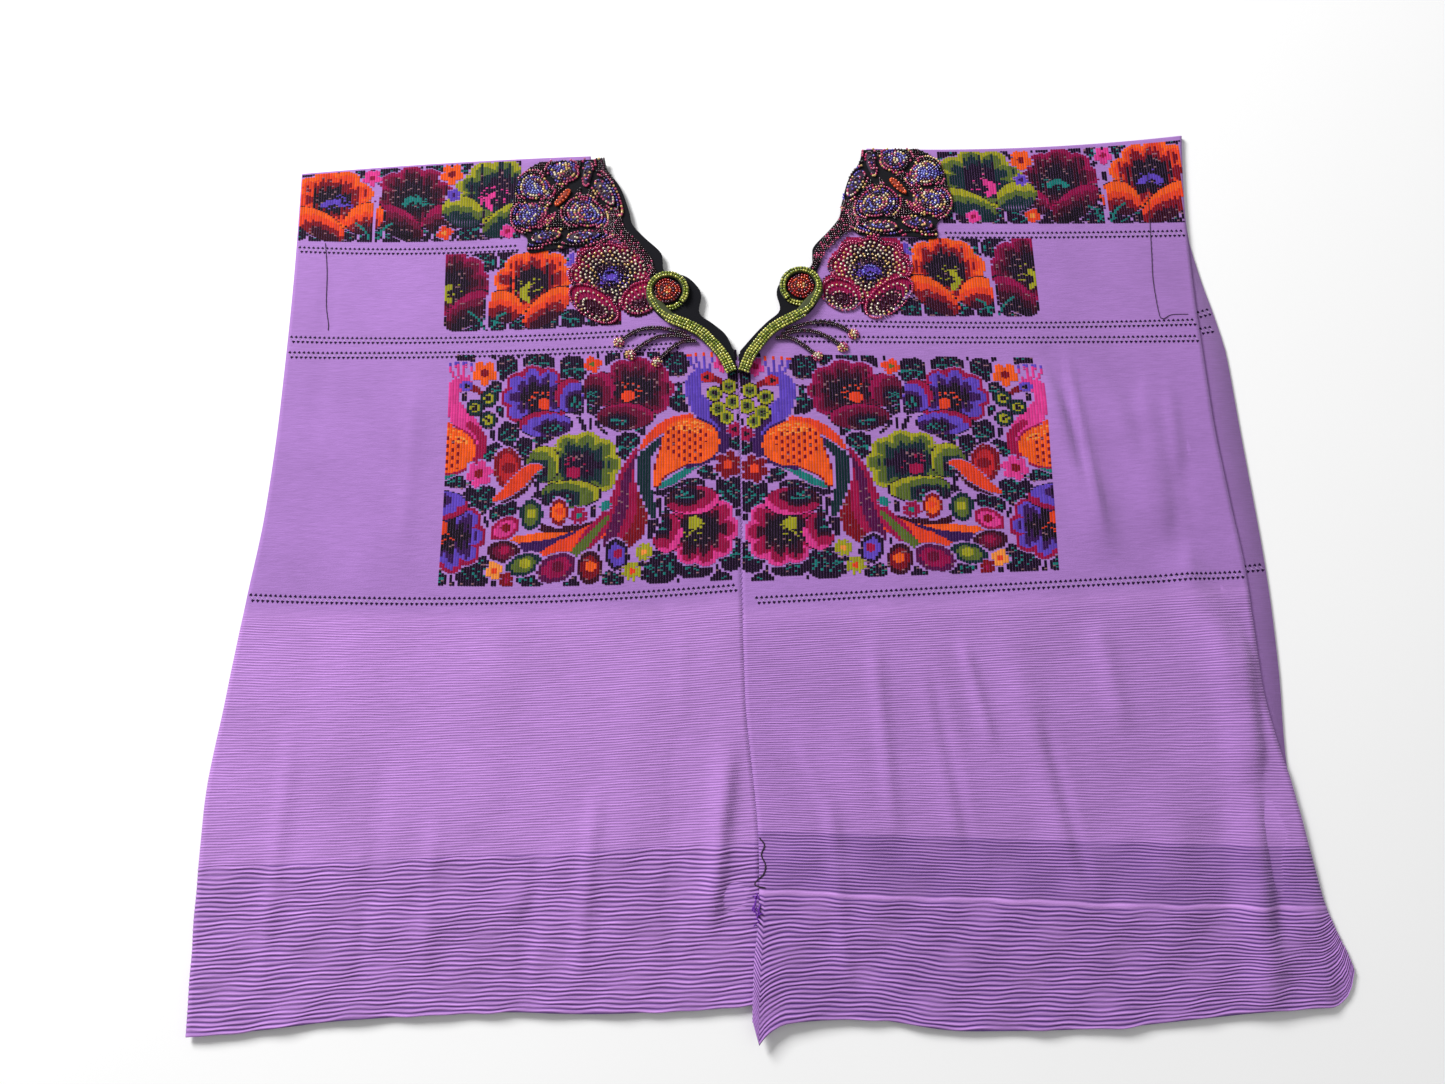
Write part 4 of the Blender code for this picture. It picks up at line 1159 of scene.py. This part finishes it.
def on_pad(pad, share, angle):
    """Place on a petal's pad at a share of the way to its rim: out, Y and the pad's height there."""
    p, q = 0.5 * share * math.cos(angle), 0.5 * share * math.sin(angle)
    a, b = p * pad.length, q * pad.width * (1 + 2 * PETAL_TAPER * p)
    turn = math.radians(pad.turn)
    out = pad.out + a * math.cos(turn) - b * math.sin(turn)
    y = pad.y + a * math.sin(turn) + b * math.cos(turn)
    return out, y, PETAL_HEIGHT * math.sqrt(max(0.0, 1 - share**2))


def ring_places(pad, shares, fewest):
    """Beads' places on a pad: ring, share of the way to the rim, out, Y and rise."""
    for ring, share in enumerate(shares):
        a, b = share * pad.length / 2, share * pad.width / 2
        around = math.pi * (3 * (a + b) - math.sqrt((3 * a + b) * (a + 3 * b)))
        number = max(fewest, round(around / BEAD_PITCH))
        for k in range(number):
            yield ring, share, *on_pad(pad, share, 2 * math.pi * (k + 0.5 * (ring % 2)) / number)


def bead_rings(beads, pad, rings, base):
    """Rings of beads from a pad's rim to its middle."""
    count = max(1, round(pad.width / 2 / BEAD_PITCH))
    shares = [FIRST_RING * (1 - ring / count) for ring in range(count)]
    for ring, _, out, y, rise in ring_places(pad, shares, 3):
        beads.add(out, y, base + rise + BEAD_SUNK, rings[min(ring, len(rings) - 1)])
    beads.add(*on_pad(pad, 0, 0)[:2], base + PETAL_HEIGHT + BEAD_SUNK, rings[-1])


# Beads of a petal by how far they lie from its edge, in millimetres. Closer than the gap there are none
PETAL_GAP = 1.5
PETAL_REACH = 4.6
HEART_REACH = 2.2
Band = namedtuple("Band", "depth colours")
PETAL_BANDS = table(
    Band,
    (3.4, ("rose", "magenta", "rose", "gold")),
    (5.4, ("black", "plum", "violet")),
    (7.8, ("gold", "rose", "cream", "violet")),
    (9.6, ("plum", "violet", "blue")),
    (99, ("blue", "blue", "violet", "cream")),
)
HEART_BANDS = (Band(99, ("orange",)),)
PATCH_LOW = 296.0
PATCH_NEAR = 108.0
PATCH_FAR = 205.0
FILLER_PITCH = 2.2
FILLER_GAP = -1.4
FILLER_REACH = 6.0
FILLER_COLOURS = ("black", "black", "brown", "plum")


def pad_share(pad, out, y):
    """How far a place lies from the middle of a pad, as a share of its rim."""
    turn = math.radians(pad.turn)
    a = (out - pad.out) * math.cos(turn) + (y - pad.y) * math.sin(turn)
    b = (y - pad.y) * math.cos(turn) - (out - pad.out) * math.sin(turn)
    p = a / pad.length
    return 2 * math.hypot(p, b / (pad.width * (1 + 2 * PETAL_TAPER * max(p, -1))))


def within(outline, out, y):
    """Whether a place lies inside a closed outline."""
    here = np.asarray(outline)
    after = np.roll(here, -1, axis=0)
    crosses = (here[:, 1] > y) != (after[:, 1] > y)
    run = np.where(crosses, after[:, 1] - here[:, 1], 1)
    at = here[:, 0] + (y - here[:, 1]) * (after[:, 0] - here[:, 0]) / run
    return bool(np.sum(crosses & (out < at)) % 2)


def beaded_flower(side, finish):
    """The big flower: beads over and round each petal's pad, up to thin dark lines between the petals."""
    beads = Beads(side)
    velvet_edge = facing_outline(side)
    for pad in PETALS:
        bands = HEART_BANDS if pad is PETALS[-1] else PETAL_BANDS
        others = [other for other in PETALS if other is not pad]
        reach = HEART_REACH if pad is PETALS[-1] else PETAL_REACH
        outermost = 1 + 2 * reach / pad.width
        count = round(outermost * pad.width / 2 / BEAD_PITCH)
        shares = [outermost * (1 - ring / count) for ring in range(count + 1)]
        for _, share, out, y, rise in ring_places(pad, shares, 1):
            nearest = min((pad_share(other, out, y) - share) * other.width / 4 for other in others)
            depth = min(nearest, (outermost - share) * pad.width / 2 + PETAL_GAP)
            if depth < PETAL_GAP or not within(velvet_edge, out, y):
                continue
            colours = next(band.colours for band in bands if depth < band.depth)
            z = TRIM_BASE + rise + BEAD_SUNK if share < PAD_ENDS else ON_VELVET + PETAL_RIM_BEAD
            beads.add(out, y, z, colours)
    # Small dark beads fill the velvet that the petals leave
    for y in np.arange(PATCH_LOW, FACING_TOP_Y, FILLER_PITCH):
        for out in np.arange(PATCH_NEAR, PATCH_FAR, FILLER_PITCH):
            off = min((pad_share(pad, out, y) - 1) * pad.width / 2 for pad in PETALS) - PETAL_REACH
            if FILLER_GAP < off < FILLER_REACH and within(velvet_edge, out, y):
                beads.add(out, y, ON_VELVET + FILLER_BEAD, FILLER_COLOURS, FILLER_PITCH)
    return beads.make(f"flower_beads_{side}", finish)


def routed(points, step):
    """Points about a step apart along a smooth line through (x, y) points, and the way it runs at each."""
    ends = np.array([points[0], *points, points[-1]], float)
    ends[0] = 2 * ends[1] - ends[2]
    ends[-1] = 2 * ends[-2] - ends[-3]
    t = np.linspace(0, 1, 12, endpoint=False)[:, None]
    parts = []
    for before, start, stop, after in zip(ends, ends[1:], ends[2:], ends[3:]):
        parts.append(between(before, start, stop, after, t))
    fine = np.concatenate([*parts, ends[-2:-1]])
    length = np.concatenate(([0], np.cumsum(np.hypot(*np.diff(fine, axis=0).T))))
    goals = np.linspace(0, length[-1], max(2, round(length[-1] / step) + 1))
    places = np.stack([np.interp(goals, length, fine[:, k]) for k in range(2)], -1)
    ways = np.gradient(places, axis=0)
    return places, ways / np.hypot(*ways.T)[:, None]


GREEN_ROW = ("lime_gold", "green", "lime_gold")
DARK_ROW = ("green", "green", "lime_gold")
BOSS_RINGS = (("red", "plum"), ("red", "red", "orange"), ("plum", "red"), ("orange", "gold"))
STEM_BEADS = 28
RING_CLOSED = math.radians(348)
RING_STEPS = 16
SCROLL_ROWS = (-3.8, -1.27, 1.27, 3.8)


def on_ring(radius, angle):
    """Out and Y at this distance and angle from the middle of the scroll's ring."""
    return RING_CENTRE[0] + radius * math.cos(angle), RING_CENTRE[1] + radius * math.sin(angle)


def beaded_scroll(side, finish):
    """Rows of green and gold beads over the scroll's stem and ring, and the red boss in the ring."""
    beads = Beads(side)
    ring = [on_ring(RING_RADIUS, RING_START + RING_SWEEP * k / RING_STEPS) for k in range(1, RING_STEPS + 1)]
    line, ways = routed([*SCROLL_STEM, *ring], BEAD_PITCH)
    for k, ((out, y), (along, up)) in enumerate(zip(line, ways)):
        on_stem = smooth((STEM_BEADS + 6 - k) / 10)
        radius = SCROLL_RING_RADIUS + (SCROLL_STEM_RADIUS - SCROLL_RING_RADIUS) * on_stem
        for aside in SCROLL_ROWS:
            if abs(aside) > radius + 0.4:
                continue
            height = SCROLL_FLATNESS * (SCROLL_STEM_RADIUS + math.sqrt(max(0.0, radius**2 - aside**2)))
            row = GREEN_ROW if abs(aside) > 2 or k % 2 else DARK_ROW
            beads.add(out - aside * up, y + aside * along, TRIM_BASE + height + BEAD_SUNK, row, 2.6)
    # Two rows on the velvet close the ring
    ring_step = BEAD_PITCH / RING_RADIUS
    for angle in np.arange(RING_START + RING_SWEEP + ring_step, RING_START + RING_CLOSED, ring_step):
        for radius in (RING_RADIUS - 1.3, RING_RADIUS + 1.3):
            beads.add(*on_ring(radius, angle), ON_VELVET + RING_BEAD, GREEN_ROW)
    boss = Petal(*RING_CENTRE, 2 * ROSETTE_RADIUS, 2 * ROSETTE_RADIUS, 0)
    bead_rings(beads, boss, BOSS_RINGS, TRIM_BASE + BOSS_BASE)
    return beads.make(f"scroll_beads_{side}", finish)


TENDRIL_PITCH = 1.9
TENDRIL_ROW = ("brown", "brown", "plum", "black")
CLUSTER_RINGS = ((2.4, 6, 2.2, ("cream", "rose", "gold")), (4.2, 10, 0.9, ("magenta", "rose", "gold")))


def beaded_tendrils(side, finish):
    """Dark beads wound along the tendrils, and a round of pale and red ones at each end."""
    beads = Beads(side)
    for route in TENDRILS:
        line, ways = routed(route, TENDRIL_PITCH)
        for (out, y), (along, up) in zip(line, ways):
            for aside in (-1.1, 1.1):
                z = CLOTH_BASE + TENDRIL_BEAD
                beads.add(out - aside * up, y + aside * along, z, TENDRIL_ROW, 2.1)
        out, y = line[-1] + ways[-1] * (CLUSTER_RADIUS + TOUCH)
        beads.add(out, y, CLOTH_BASE + CLUSTER_HEIGHT + CLUSTER_TOP_BEAD, ("cream",))
        for radius, number, rise, colours in CLUSTER_RINGS:
            for angle in turns(number):
                a, b = out + radius * math.cos(angle), y + radius * math.sin(angle)
                beads.add(a, b, CLOTH_BASE + rise, colours, 2.4)
    return beads.make(f"tendril_beads_{side}", finish)


EDGE_BEADS = ("magenta", "plum", "rose", "magenta")
INNER_BEADS = ("cream", "cream", "gold")
POPPY_TURN = math.radians(45)
# Rings of beads from the rim inwards: share of the way out from the middle, pitch, colours and size
BeadRing = namedtuple("BeadRing", "share pitch colours size")
FAN_RINGS = table(
    BeadRing, (0.97, 2.5, EDGE_BEADS, 2.5), (0.90, 2.5, EDGE_BEADS, 2.5), (0.80, 4.6, INNER_BEADS, 2.5),
    (0.69, 4.3, INNER_BEADS, 2.5), (0.58, 4.0, INNER_BEADS, 2.4), (0.47, 3.8, INNER_BEADS, 2.3),
    (0.36, 3.8, ("gold", "plum"), 2.1), (0.25, 3.2, ("plum", "plum", "violet"), 2.2),
    (0.15, 2.6, ("violet", "blue"), 2.3),
)
CURL_RINGS = table(
    BeadRing, (0.95, 2.5, EDGE_BEADS, 2.5), (0.72, 4.2, INNER_BEADS, 2.2),
    (0.46, 3.8, ("cream", "rose"), 2.2), (0.2, 3.4, ("plum",), 2.2),
)


def beaded_poppy(panel, finish):
    """A poppy in seed beads: a magenta edge, arcs of cream beads on dark threads and a violet heart."""
    beads = Beads(panel.side)
    flower = BEADED_POPPY[panel.side]
    cos, sin = math.cos(POPPY_TURN), math.sin(POPPY_TURN)

    def bead(p, q, colours, size):
        out = flower.out + (p * cos - q * sin) * flower.length / 2
        y = flower.y + (p * sin + q * cos) * flower.width / 2
        lift = lift_at(panel, MIDDLE_X + outwards(panel.side) * out, y)
        beads.add(out, y, FRONT_TOP + lift + POPPY_BEAD, colours, size)

    def covered(p, q, curls):
        return any(math.hypot((p - c.p) / c.length, (q - c.q) / c.width) < 1.02 for c in curls)

    half = flower.length / 2
    for share, pitch, colours, size in FAN_RINGS:
        for angle in turns(round(2 * math.pi * share * FAN_RADIUS * half / pitch)):
            reach = share * FAN_RADIUS * (0.85 + 0.15 * abs(math.cos(FAN_LOBES * angle / 2)) ** 0.6)
            p, q = FAN_P + reach * math.cos(angle), FAN_Q + reach * math.sin(angle)
            if not covered(p, q, CURLS):
                bead(p, q, colours, size)
    for order, curl in enumerate(CURLS):
        for share, pitch, colours, size in CURL_RINGS:
            for angle in turns(round(math.pi * share * (curl.length + curl.width) * half / pitch)):
                p = curl.p + share * curl.length * math.cos(angle) + (1 - share) * curl.shift_p
                q = curl.q + share * curl.width * math.sin(angle) + (1 - share) * curl.shift_q
                if not covered(p, q, CURLS[order + 1:]):
                    bead(p, q, colours, size)
    return beads.make(f"poppy_beads_{panel.side}", finish)


# The band of dark beads along the neck's edge, between the big flower and the poppy
StripRow = namedtuple("StripRow", "y near far")
STRIP = table(
    StripRow, (262, 70, 75), (270, 73, 80), (278, 75, 85), (286, 80, 93), (294, 86, 103), (302, 93, 118),
    (308, 98, 124), (316, 101, 116), (330, 105, 112),
)
STRIP_PITCH = 2.1
STRIP_BEADS = ("brown", "plum", "brown", "black", "rose")


def beaded_strip(side, finish):
    """Dark beads strewn closely over the velvet between the flower and the poppy."""
    beads = Beads(side)
    for y in np.arange(STRIP[0].y, STRIP[-1].y, STRIP_PITCH):
        near, far = (float(read_table(STRIP, "y", name, y)) for name in ("near", "far"))
        for out in np.arange(near, far, STRIP_PITCH):
            beads.add(out, y, ON_VELVET + STRIP_BEAD, STRIP_BEADS, STRIP_PITCH)
    return beads.make(f"strip_beads_{side}", finish)


VELVET_ROUND = 0.4
VELVET_STEP = 3.0


def facing_outline(side):
    """The velvet facing's outline, as distance out from the middle line and Y."""
    edge = []
    for point in NECK_EDGE:
        y = min(point.y, FACING_TOP_Y)
        shows = FACING_SHOWS[side] * smooth((y - V_POINT_Y) / FACING_RUN)
        edge.append((max(float(read_table(NECK_EDGE, "y", "out", y) - shows), TOUCH), y))
    return [*routed(edge, VELVET_STEP)[0], *routed(FACING_INNER, VELVET_STEP)[0]]


def new_curve(name, points, dimensions, bevel, resolution, finish):
    """A curve with straight pieces between (x, y, z) points, thickened or rounded by its bevel."""
    curve = bpy.data.curves.new(name, "CURVE")
    curve.dimensions = dimensions
    curve.bevel_depth = bevel * METRE
    curve.bevel_resolution = resolution
    spline = curve.splines.new("POLY")
    spline.points.add(len(points) - 1)
    for point, place in zip(spline.points, points):
        point.co = (*(v * METRE for v in place), 1)
    curve.materials.append(finish)
    return placed(name, curve)


def velvet(side, finish):
    """The neck's velvet facing: the outline of its solid, with rounded edges."""
    outline = [(MIDDLE_X + outwards(side) * out, y, 0) for out, y in facing_outline(side)]
    if side == "right":
        outline.reverse()
    made = new_curve(f"velvet_{side}", outline, "2D", VELVET_ROUND, 3, finish)
    made.data.fill_mode = "BOTH"
    made.data.extrude = (FACING_THICK / 2 - VELVET_ROUND) * METRE
    made.data.offset = -VELVET_ROUND * METRE
    made.data.splines[0].use_cyclic_u = True
    made.location.z = (CLOTH_BASE + FACING_THICK / 2) * METRE
    return made


def sewn_thread(name, points, radius, finish):
    """A sewing thread along (x, y, z) points."""
    made = new_curve(name, points, "3D", radius, 1, finish)
    made.data.use_fill_caps = True
    return made


# Dark basting threads near the side edges, as X and drop
BASTING = {
    "left": ((-380, 80), (-377, 110), (-376, 144), (-373, 164), (-373, 170)),
    "right": (
        (382, 10), (378, 50), (375, 84), (373, 110), (371, 138), (372, 172), (375, 178), (383, 174),
        (398, 174),
    ),
}
BASTING_RADIUS = 0.32
BASTING_STEP = 3.0
BASTING_HEIGHT = 0.35
BASTING_WAVE = 0.2


def basting(panel, finish):
    """A loose dark thread tacked through the cloth near its side edge."""
    x, drop = routed(BASTING[panel.side], BASTING_STEP)[0].T
    points = on_front(panel, x, drop, BASTING_HEIGHT + BASTING_WAVE * np.sin(drop))
    return sewn_thread(f"basting_{panel.side}", points, BASTING_RADIUS, finish)


SEAM_STITCH = 4.4
SEAM_STITCH_HALF = 0.45
SEAM_STITCH_PATH = ((-1.3, -0.9, 0.0), (-0.1, 0.0, 0.5), (1.1, 0.9, 0.1))
SEAM_THREAD = screen(176, 128, 206)


def seam_stitches(finish):
    """Slanting stitches that join the two lengths down the middle, from the V to the seam's end."""
    points, faces = [], []
    first, last = LEFT.lines[3].drop + 24, LEFT.lines[-2].drop - 10
    halves = (-SEAM_STITCH_HALF, SEAM_STITCH_HALF)
    for drop in np.arange(first, last, SEAM_STITCH):
        middle = float(seam_x(LEFT, np.array(drop)))
        y = float(weft_y(LEFT, 1.0, np.array(drop)))
        z = FRONT_TOP + lift_at(LEFT, middle - 1, y)
        at = len(points)
        for dx, dy, dz in SEAM_STITCH_PATH:
            points += [(middle + dx, y + dy + half, z + dz) for half in halves]
        faces += [(at, at + 2, at + 3, at + 1), (at + 2, at + 4, at + 5, at + 3)]
    return new_mesh("seam_stitches", points, faces, finish, np.full((len(points), 3), SEAM_THREAD))


# Rough tacking where the seam ends, and a tuft of purple thread ends below it
TACKING = ((-7, -234), (-3, -240), (-6, -247), (-3, -255), (-5, -262), (-10, -266), (-12, -270), (-4, -272))
TUFT_X = -11.0
TUFT_Y = -289.0
TUFT_STRANDS = 24
TACKING_RADIUS = 0.6
TUFT_RADIUS = 0.55
TACK_ASIDE = 2.5


def on_right_front(x, y, height):
    """A point over the right front half at this X and Y."""
    return (x, y, FRONT_TOP + lift_at(RIGHT, x, y) + height)


def seam_end(dark, purple):
    """The tacking thread and the strands of the tuft, as separate threads."""
    line, _ = routed(TACKING, 2.0)
    places = [on_right_front(x + TACK_ASIDE, y, 0.5) for x, y in line]
    made = [sewn_thread("tacking", places, TACKING_RADIUS, dark)]
    for k in range(TUFT_STRANDS):
        x, y = TUFT_X + TACK_ASIDE + RANDOM.uniform(-2, 2), TUFT_Y + RANDOM.uniform(-11, 11)
        bend_x, bend_y = RANDOM.uniform(-3.5, 3.5), RANDOM.uniform(-5, 5)
        route = ((x, y), (x + bend_x / 2, y + bend_y / 2 + 1), (x + bend_x, y + bend_y))
        rise = RANDOM.uniform(0.6, 2.0)
        points = [on_right_front(a, b, rise * c + 0.5) for (a, b), c in zip(route, (0, 1, 0.3))]
        made.append(sewn_thread(f"tuft_{k}", points, TUFT_RADIUS, purple))
    return made


# Shader helpers and groups
def new_group(name, inputs, outputs):
    """An empty shader group with its sockets, and its input and output nodes."""
    made = bpy.data.node_groups.new(name, "ShaderNodeTree")
    kinds = {"colour": "NodeSocketColor", "value": "NodeSocketFloat"}
    for label, kind in inputs:
        made.interface.new_socket(label, in_out="INPUT", socket_type=kinds[kind])
    for label, kind in outputs:
        made.interface.new_socket(label, in_out="OUTPUT", socket_type=kinds[kind])
    return made, made.nodes.new("NodeGroupInput"), made.nodes.new("NodeGroupOutput")


def feed(tree, value, socket):
    """Links a socket to another, or sets it to a number or a colour."""
    if isinstance(value, bpy.types.NodeSocket):
        tree.links.new(value, socket)
    elif value is not None:
        socket.default_value = value if isinstance(value, (int, float)) else (*value, 1)


def maths(tree, operation, first, second=0.5, third=None):
    """A Math node on sockets or numbers, and its output."""
    node = tree.nodes.new("ShaderNodeMath")
    node.operation = operation
    for socket, value in zip(node.inputs, (first, second, third)):
        feed(tree, value, socket)
    return node.outputs[0]


def blend(tree, mode, share, first, second):
    """A colour mix of two sockets or colours, and its output."""
    node = tree.nodes.new("ShaderNodeMix")
    node.data_type = "RGBA"
    node.blend_type = mode
    for number, value in ((0, share), (6, first), (7, second)):
        feed(tree, value, node.inputs[number])
    return node.outputs[2]


def grey(tree, shade):
    """A grey as bright as this socket's value."""
    node = tree.nodes.new("ShaderNodeCombineColor")
    for socket in node.inputs:
        tree.links.new(shade, socket)
    return node.outputs[0]


def noise(tree, scale, size, detail=2.0):
    """Noise over the object's own coordinates, stretched by scale, with the given size of grain."""
    place = tree.nodes.new("ShaderNodeTexCoord")
    stretch = tree.nodes.new("ShaderNodeMapping")
    stretch.inputs["Scale"].default_value = scale
    tree.links.new(place.outputs["Object"], stretch.inputs["Vector"])
    made = tree.nodes.new("ShaderNodeTexNoise")
    made.inputs["Scale"].default_value = size
    made.inputs["Detail"].default_value = detail
    tree.links.new(stretch.outputs["Vector"], made.inputs["Vector"])
    return made.outputs["Fac"]


def streaks_group():
    """Uneven yarn: darker and lighter streaks along one way, soft blotches, and the threads' height."""
    tree, given, out = new_group(
        "yarn streaks",
        (("Colour", "colour"), ("Streaks", "value"), ("Blotches", "value")),
        (("Colour", "colour"), ("Height", "value")),
    )
    along_weft = noise(tree, (1, 16, 1), 90, 4)
    threads = noise(tree, (1, 5, 1), 700, 1)
    patches = noise(tree, (1, 1, 1), 14, 3)
    streak, blotch = (
        maths(tree, "MULTIPLY_ADD", maths(tree, "SUBTRACT", grain), given.outputs[amount], 1.0)
        for grain, amount in ((along_weft, "Streaks"), (patches, "Blotches"))
    )
    shade = grey(tree, maths(tree, "MULTIPLY", streak, blotch))
    tree.links.new(blend(tree, "MULTIPLY", 1.0, given.outputs["Colour"], shade), out.inputs["Colour"])
    tree.links.new(maths(tree, "ADD", threads, along_weft), out.inputs["Height"])
    return tree


STREAKS = streaks_group()


def new_material(name, roughness, sheen=0.0, sheen_roughness=0.5, coat=0.0, specular=0.5):
    """A material with its shader, whose constant values are set on the shader itself."""
    made = bpy.data.materials.new(name)
    made.use_nodes = True
    shader = made.node_tree.nodes["Principled BSDF"]
    for label, value in (
        ("Roughness", roughness), ("Sheen Weight", sheen), ("Sheen Roughness", sheen_roughness),
        ("Coat Weight", coat), ("Specular IOR Level", specular),
    ):
        shader.inputs[label].default_value = value
    return made, made.node_tree, shader


def yarn(tree, shader, colour, streaks, blotches, bump, depth, height=None):
    """Feeds a colour through the yarn streaks to the shader, and raises its threads, or another height."""
    node = tree.nodes.new("ShaderNodeGroup")
    node.node_tree = STREAKS
    for label, value in (("Colour", colour), ("Streaks", streaks), ("Blotches", blotches)):
        feed(tree, value, node.inputs[label])
    tree.links.new(node.outputs["Colour"], shader.inputs["Base Color"])
    relief = tree.nodes.new("ShaderNodeBump")
    relief.inputs["Strength"].default_value = bump
    relief.inputs["Distance"].default_value = depth
    tree.links.new(node.outputs["Height"] if height is None else height, relief.inputs["Height"])
    tree.links.new(relief.outputs["Normal"], shader.inputs["Normal"])


def tint(tree):
    """The colour that the mesh carries at each point."""
    node = tree.nodes.new("ShaderNodeVertexColor")
    node.layer_name = "tint"
    return node.outputs["Color"]


def cloth_material():
    """Hand-woven cotton: plain lilac above; below, rib tops with a painted highlight and grooves with painted
    shade.
    """
    made, tree, shader = new_material("lilac_cotton", 0.85, sheen=0.25, specular=0.25)
    shares = tree.nodes.new("ShaderNodeSeparateColor")
    tree.links.new(tint(tree), shares.inputs[0])
    ribs = blend(tree, "MIX", shares.outputs[0], RIB_GROOVE_SHADE, RIB_TOP_HIGHLIGHT)
    base = blend(tree, "MIX", shares.outputs[1], PLAIN_LILAC, ribs)
    yarn(tree, shader, base, streaks=0.5, blotches=0.3, bump=0.5, depth=0.0004)
    return made


def tinted_material(name, roughness, streaks, bump, **finish):
    """A material that takes its colour from the mesh: brocade threads, sewing threads, beads."""
    made, tree, shader = new_material(name, roughness, **finish)
    yarn(tree, shader, tint(tree), streaks, blotches=0.2, bump=bump, depth=0.0003)
    return made


def plain_material(name, colour, roughness):
    """A yarn material in one colour."""
    made, tree, shader = new_material(name, roughness)
    yarn(tree, shader, colour, streaks=0.5, blotches=0.3, bump=0.4, depth=0.0003)
    return made


def velvet_material():
    """Deep black pile with a soft sheen."""
    made, tree, shader = new_material("black_velvet", 0.95, sheen=0.35, sheen_roughness=0.4, specular=0.1)
    pile = noise(tree, (1, 1, 1), 1500)
    yarn(tree, shader, VELVET_BLACK, streaks=0.4, blotches=0.6, bump=0.6, depth=0.0004, height=pile)
    return made


FLOOR_HALF = 4000
FLOOR_Z = -0.0004
DAYLIGHT = 0.34
Light = namedtuple("Light", "name energy size place")
LIGHTS = table(
    Light, ("shoulder_light", 182, 1.2, (-2.0, 2.3, 1.8)), ("side_light", 3, 1.4, (1.7, -0.2, 1.6)),
)
LENS = 27.03
SENSOR = 36
CAMERA_TILT = math.radians(14)
CAMERA_ROLL = math.radians(-2)
CAMERA_PLACE = (-0.02556, -0.2137, 0.90005)


def floor_and_light():
    """A pale table, a soft light from above the shoulders and a fill from the front."""
    corners = [(x * FLOOR_HALF, y * FLOOR_HALF, 0) for x, y in ((-1, -1), (1, -1), (1, 1), (-1, 1))]
    made, tree, shader = new_material("pale_table", 0.9, specular=0.1)
    tone = maths(tree, "MULTIPLY_ADD", noise(tree, (1, 1, 1), 3), 0.02, 0.93)
    tree.links.new(grey(tree, tone), shader.inputs["Base Color"])
    floor = new_mesh("floor", corners, [(0, 1, 2, 3)], made)
    floor.location.z = FLOOR_Z
    world = bpy.data.worlds.new("studio")
    world.use_nodes = True
    world.node_tree.nodes["Background"].inputs[0].default_value = (1, 1, 1, 1)
    world.node_tree.nodes["Background"].inputs[1].default_value = DAYLIGHT
    bpy.context.scene.world = world
    for light in LIGHTS:
        lamp = bpy.data.lights.new(light.name, "AREA")
        lamp.energy = light.energy
        lamp.size = light.size
        held = placed(light.name, lamp)
        held.location = light.place
        held.rotation_mode = "QUATERNION"
        held.rotation_quaternion = (-held.location).to_track_quat("-Z", "Y")


def camera():
    """The photograph's view: almost straight down, tipped a little towards the hem."""
    lens = bpy.data.cameras.new("photo_view")
    lens.lens = LENS
    lens.sensor_width = SENSOR
    held = placed("photo_view", lens)
    tilt, roll = Matrix.Rotation(CAMERA_TILT, 4, "X"), Matrix.Rotation(CAMERA_ROLL, 4, "Z")
    held.matrix_world = Matrix.Translation(CAMERA_PLACE) @ tilt @ roll
    bpy.context.scene.camera = held


COTTON = cloth_material()
BROCADE = tinted_material("brocade_thread", 0.75, 0.5, 0.3, specular=0.08)
VELVET = velvet_material()
BEAD_GLASS = tinted_material("bead_glass", 0.16, 0.1, 0.05, coat=0.6, specular=0.6)
DARK_THREAD = plain_material("dark_thread", screen(44, 22, 50), 0.8)
PURPLE_THREAD = plain_material("purple_thread", screen(112, 34, 170), 0.8)
SEWING = tinted_material("sewing_thread", 0.8, 0.3, 0.3, specular=0.1)
camera()
floor_and_light()
bpy.context.scene.view_settings.view_transform = "Standard"

field = field_chart()
for panel in (LEFT, RIGHT):
    side = panel.side
    on_cloth = [
        brocade(f"brocade_field_{side}", panel, field, FIELD[side], BROCADE),
        brocade(f"brocade_shoulder_{side}", panel, shoulder_chart(side), SHOULDER_PATCH[side], BROCADE),
        brocade(f"brocade_throat_{side}", panel, throat_chart(side), THROAT[side], BROCADE),
        openwork(panel, SEWING),
        beaded_poppy(panel, BEAD_GLASS),
        basting(panel, DARK_THREAD),
    ]
    facing = velvet(side, VELVET)
    trim = [
        beaded_flower(side, BEAD_GLASS),
        beaded_scroll(side, BEAD_GLASS),
        beaded_tendrils(side, BEAD_GLASS),
        beaded_strip(side, BEAD_GLASS),
    ]
    made = cloth(panel, COTTON)
    for piece in (made, facing, *on_cloth, *trim):
        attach(piece, "root")
    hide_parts(f"panel_{side}")
    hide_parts(f"neck_facing_{side}")
for piece in (seam_stitches(SEWING), *seam_end(DARK_THREAD, PURPLE_THREAD)):
    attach(piece, "root")

# The padding that shows between the beads, by the first word of its node's name
PADDING = screens(
    scroll=(58, 66, 22), rosette=(74, 12, 16), petal=(44, 18, 52), flower=(150, 44, 18),
    tendril=(38, 20, 24), bead=(110, 44, 66),
)
grounds = {word: plain_material(f"{word}_padding", colour, 0.75) for word, colour in PADDING.items()}
for name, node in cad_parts.items():
    if not node.hide_render:
        node.data.materials.clear()
        node.data.materials.append(grounds[name.split("_")[0]])
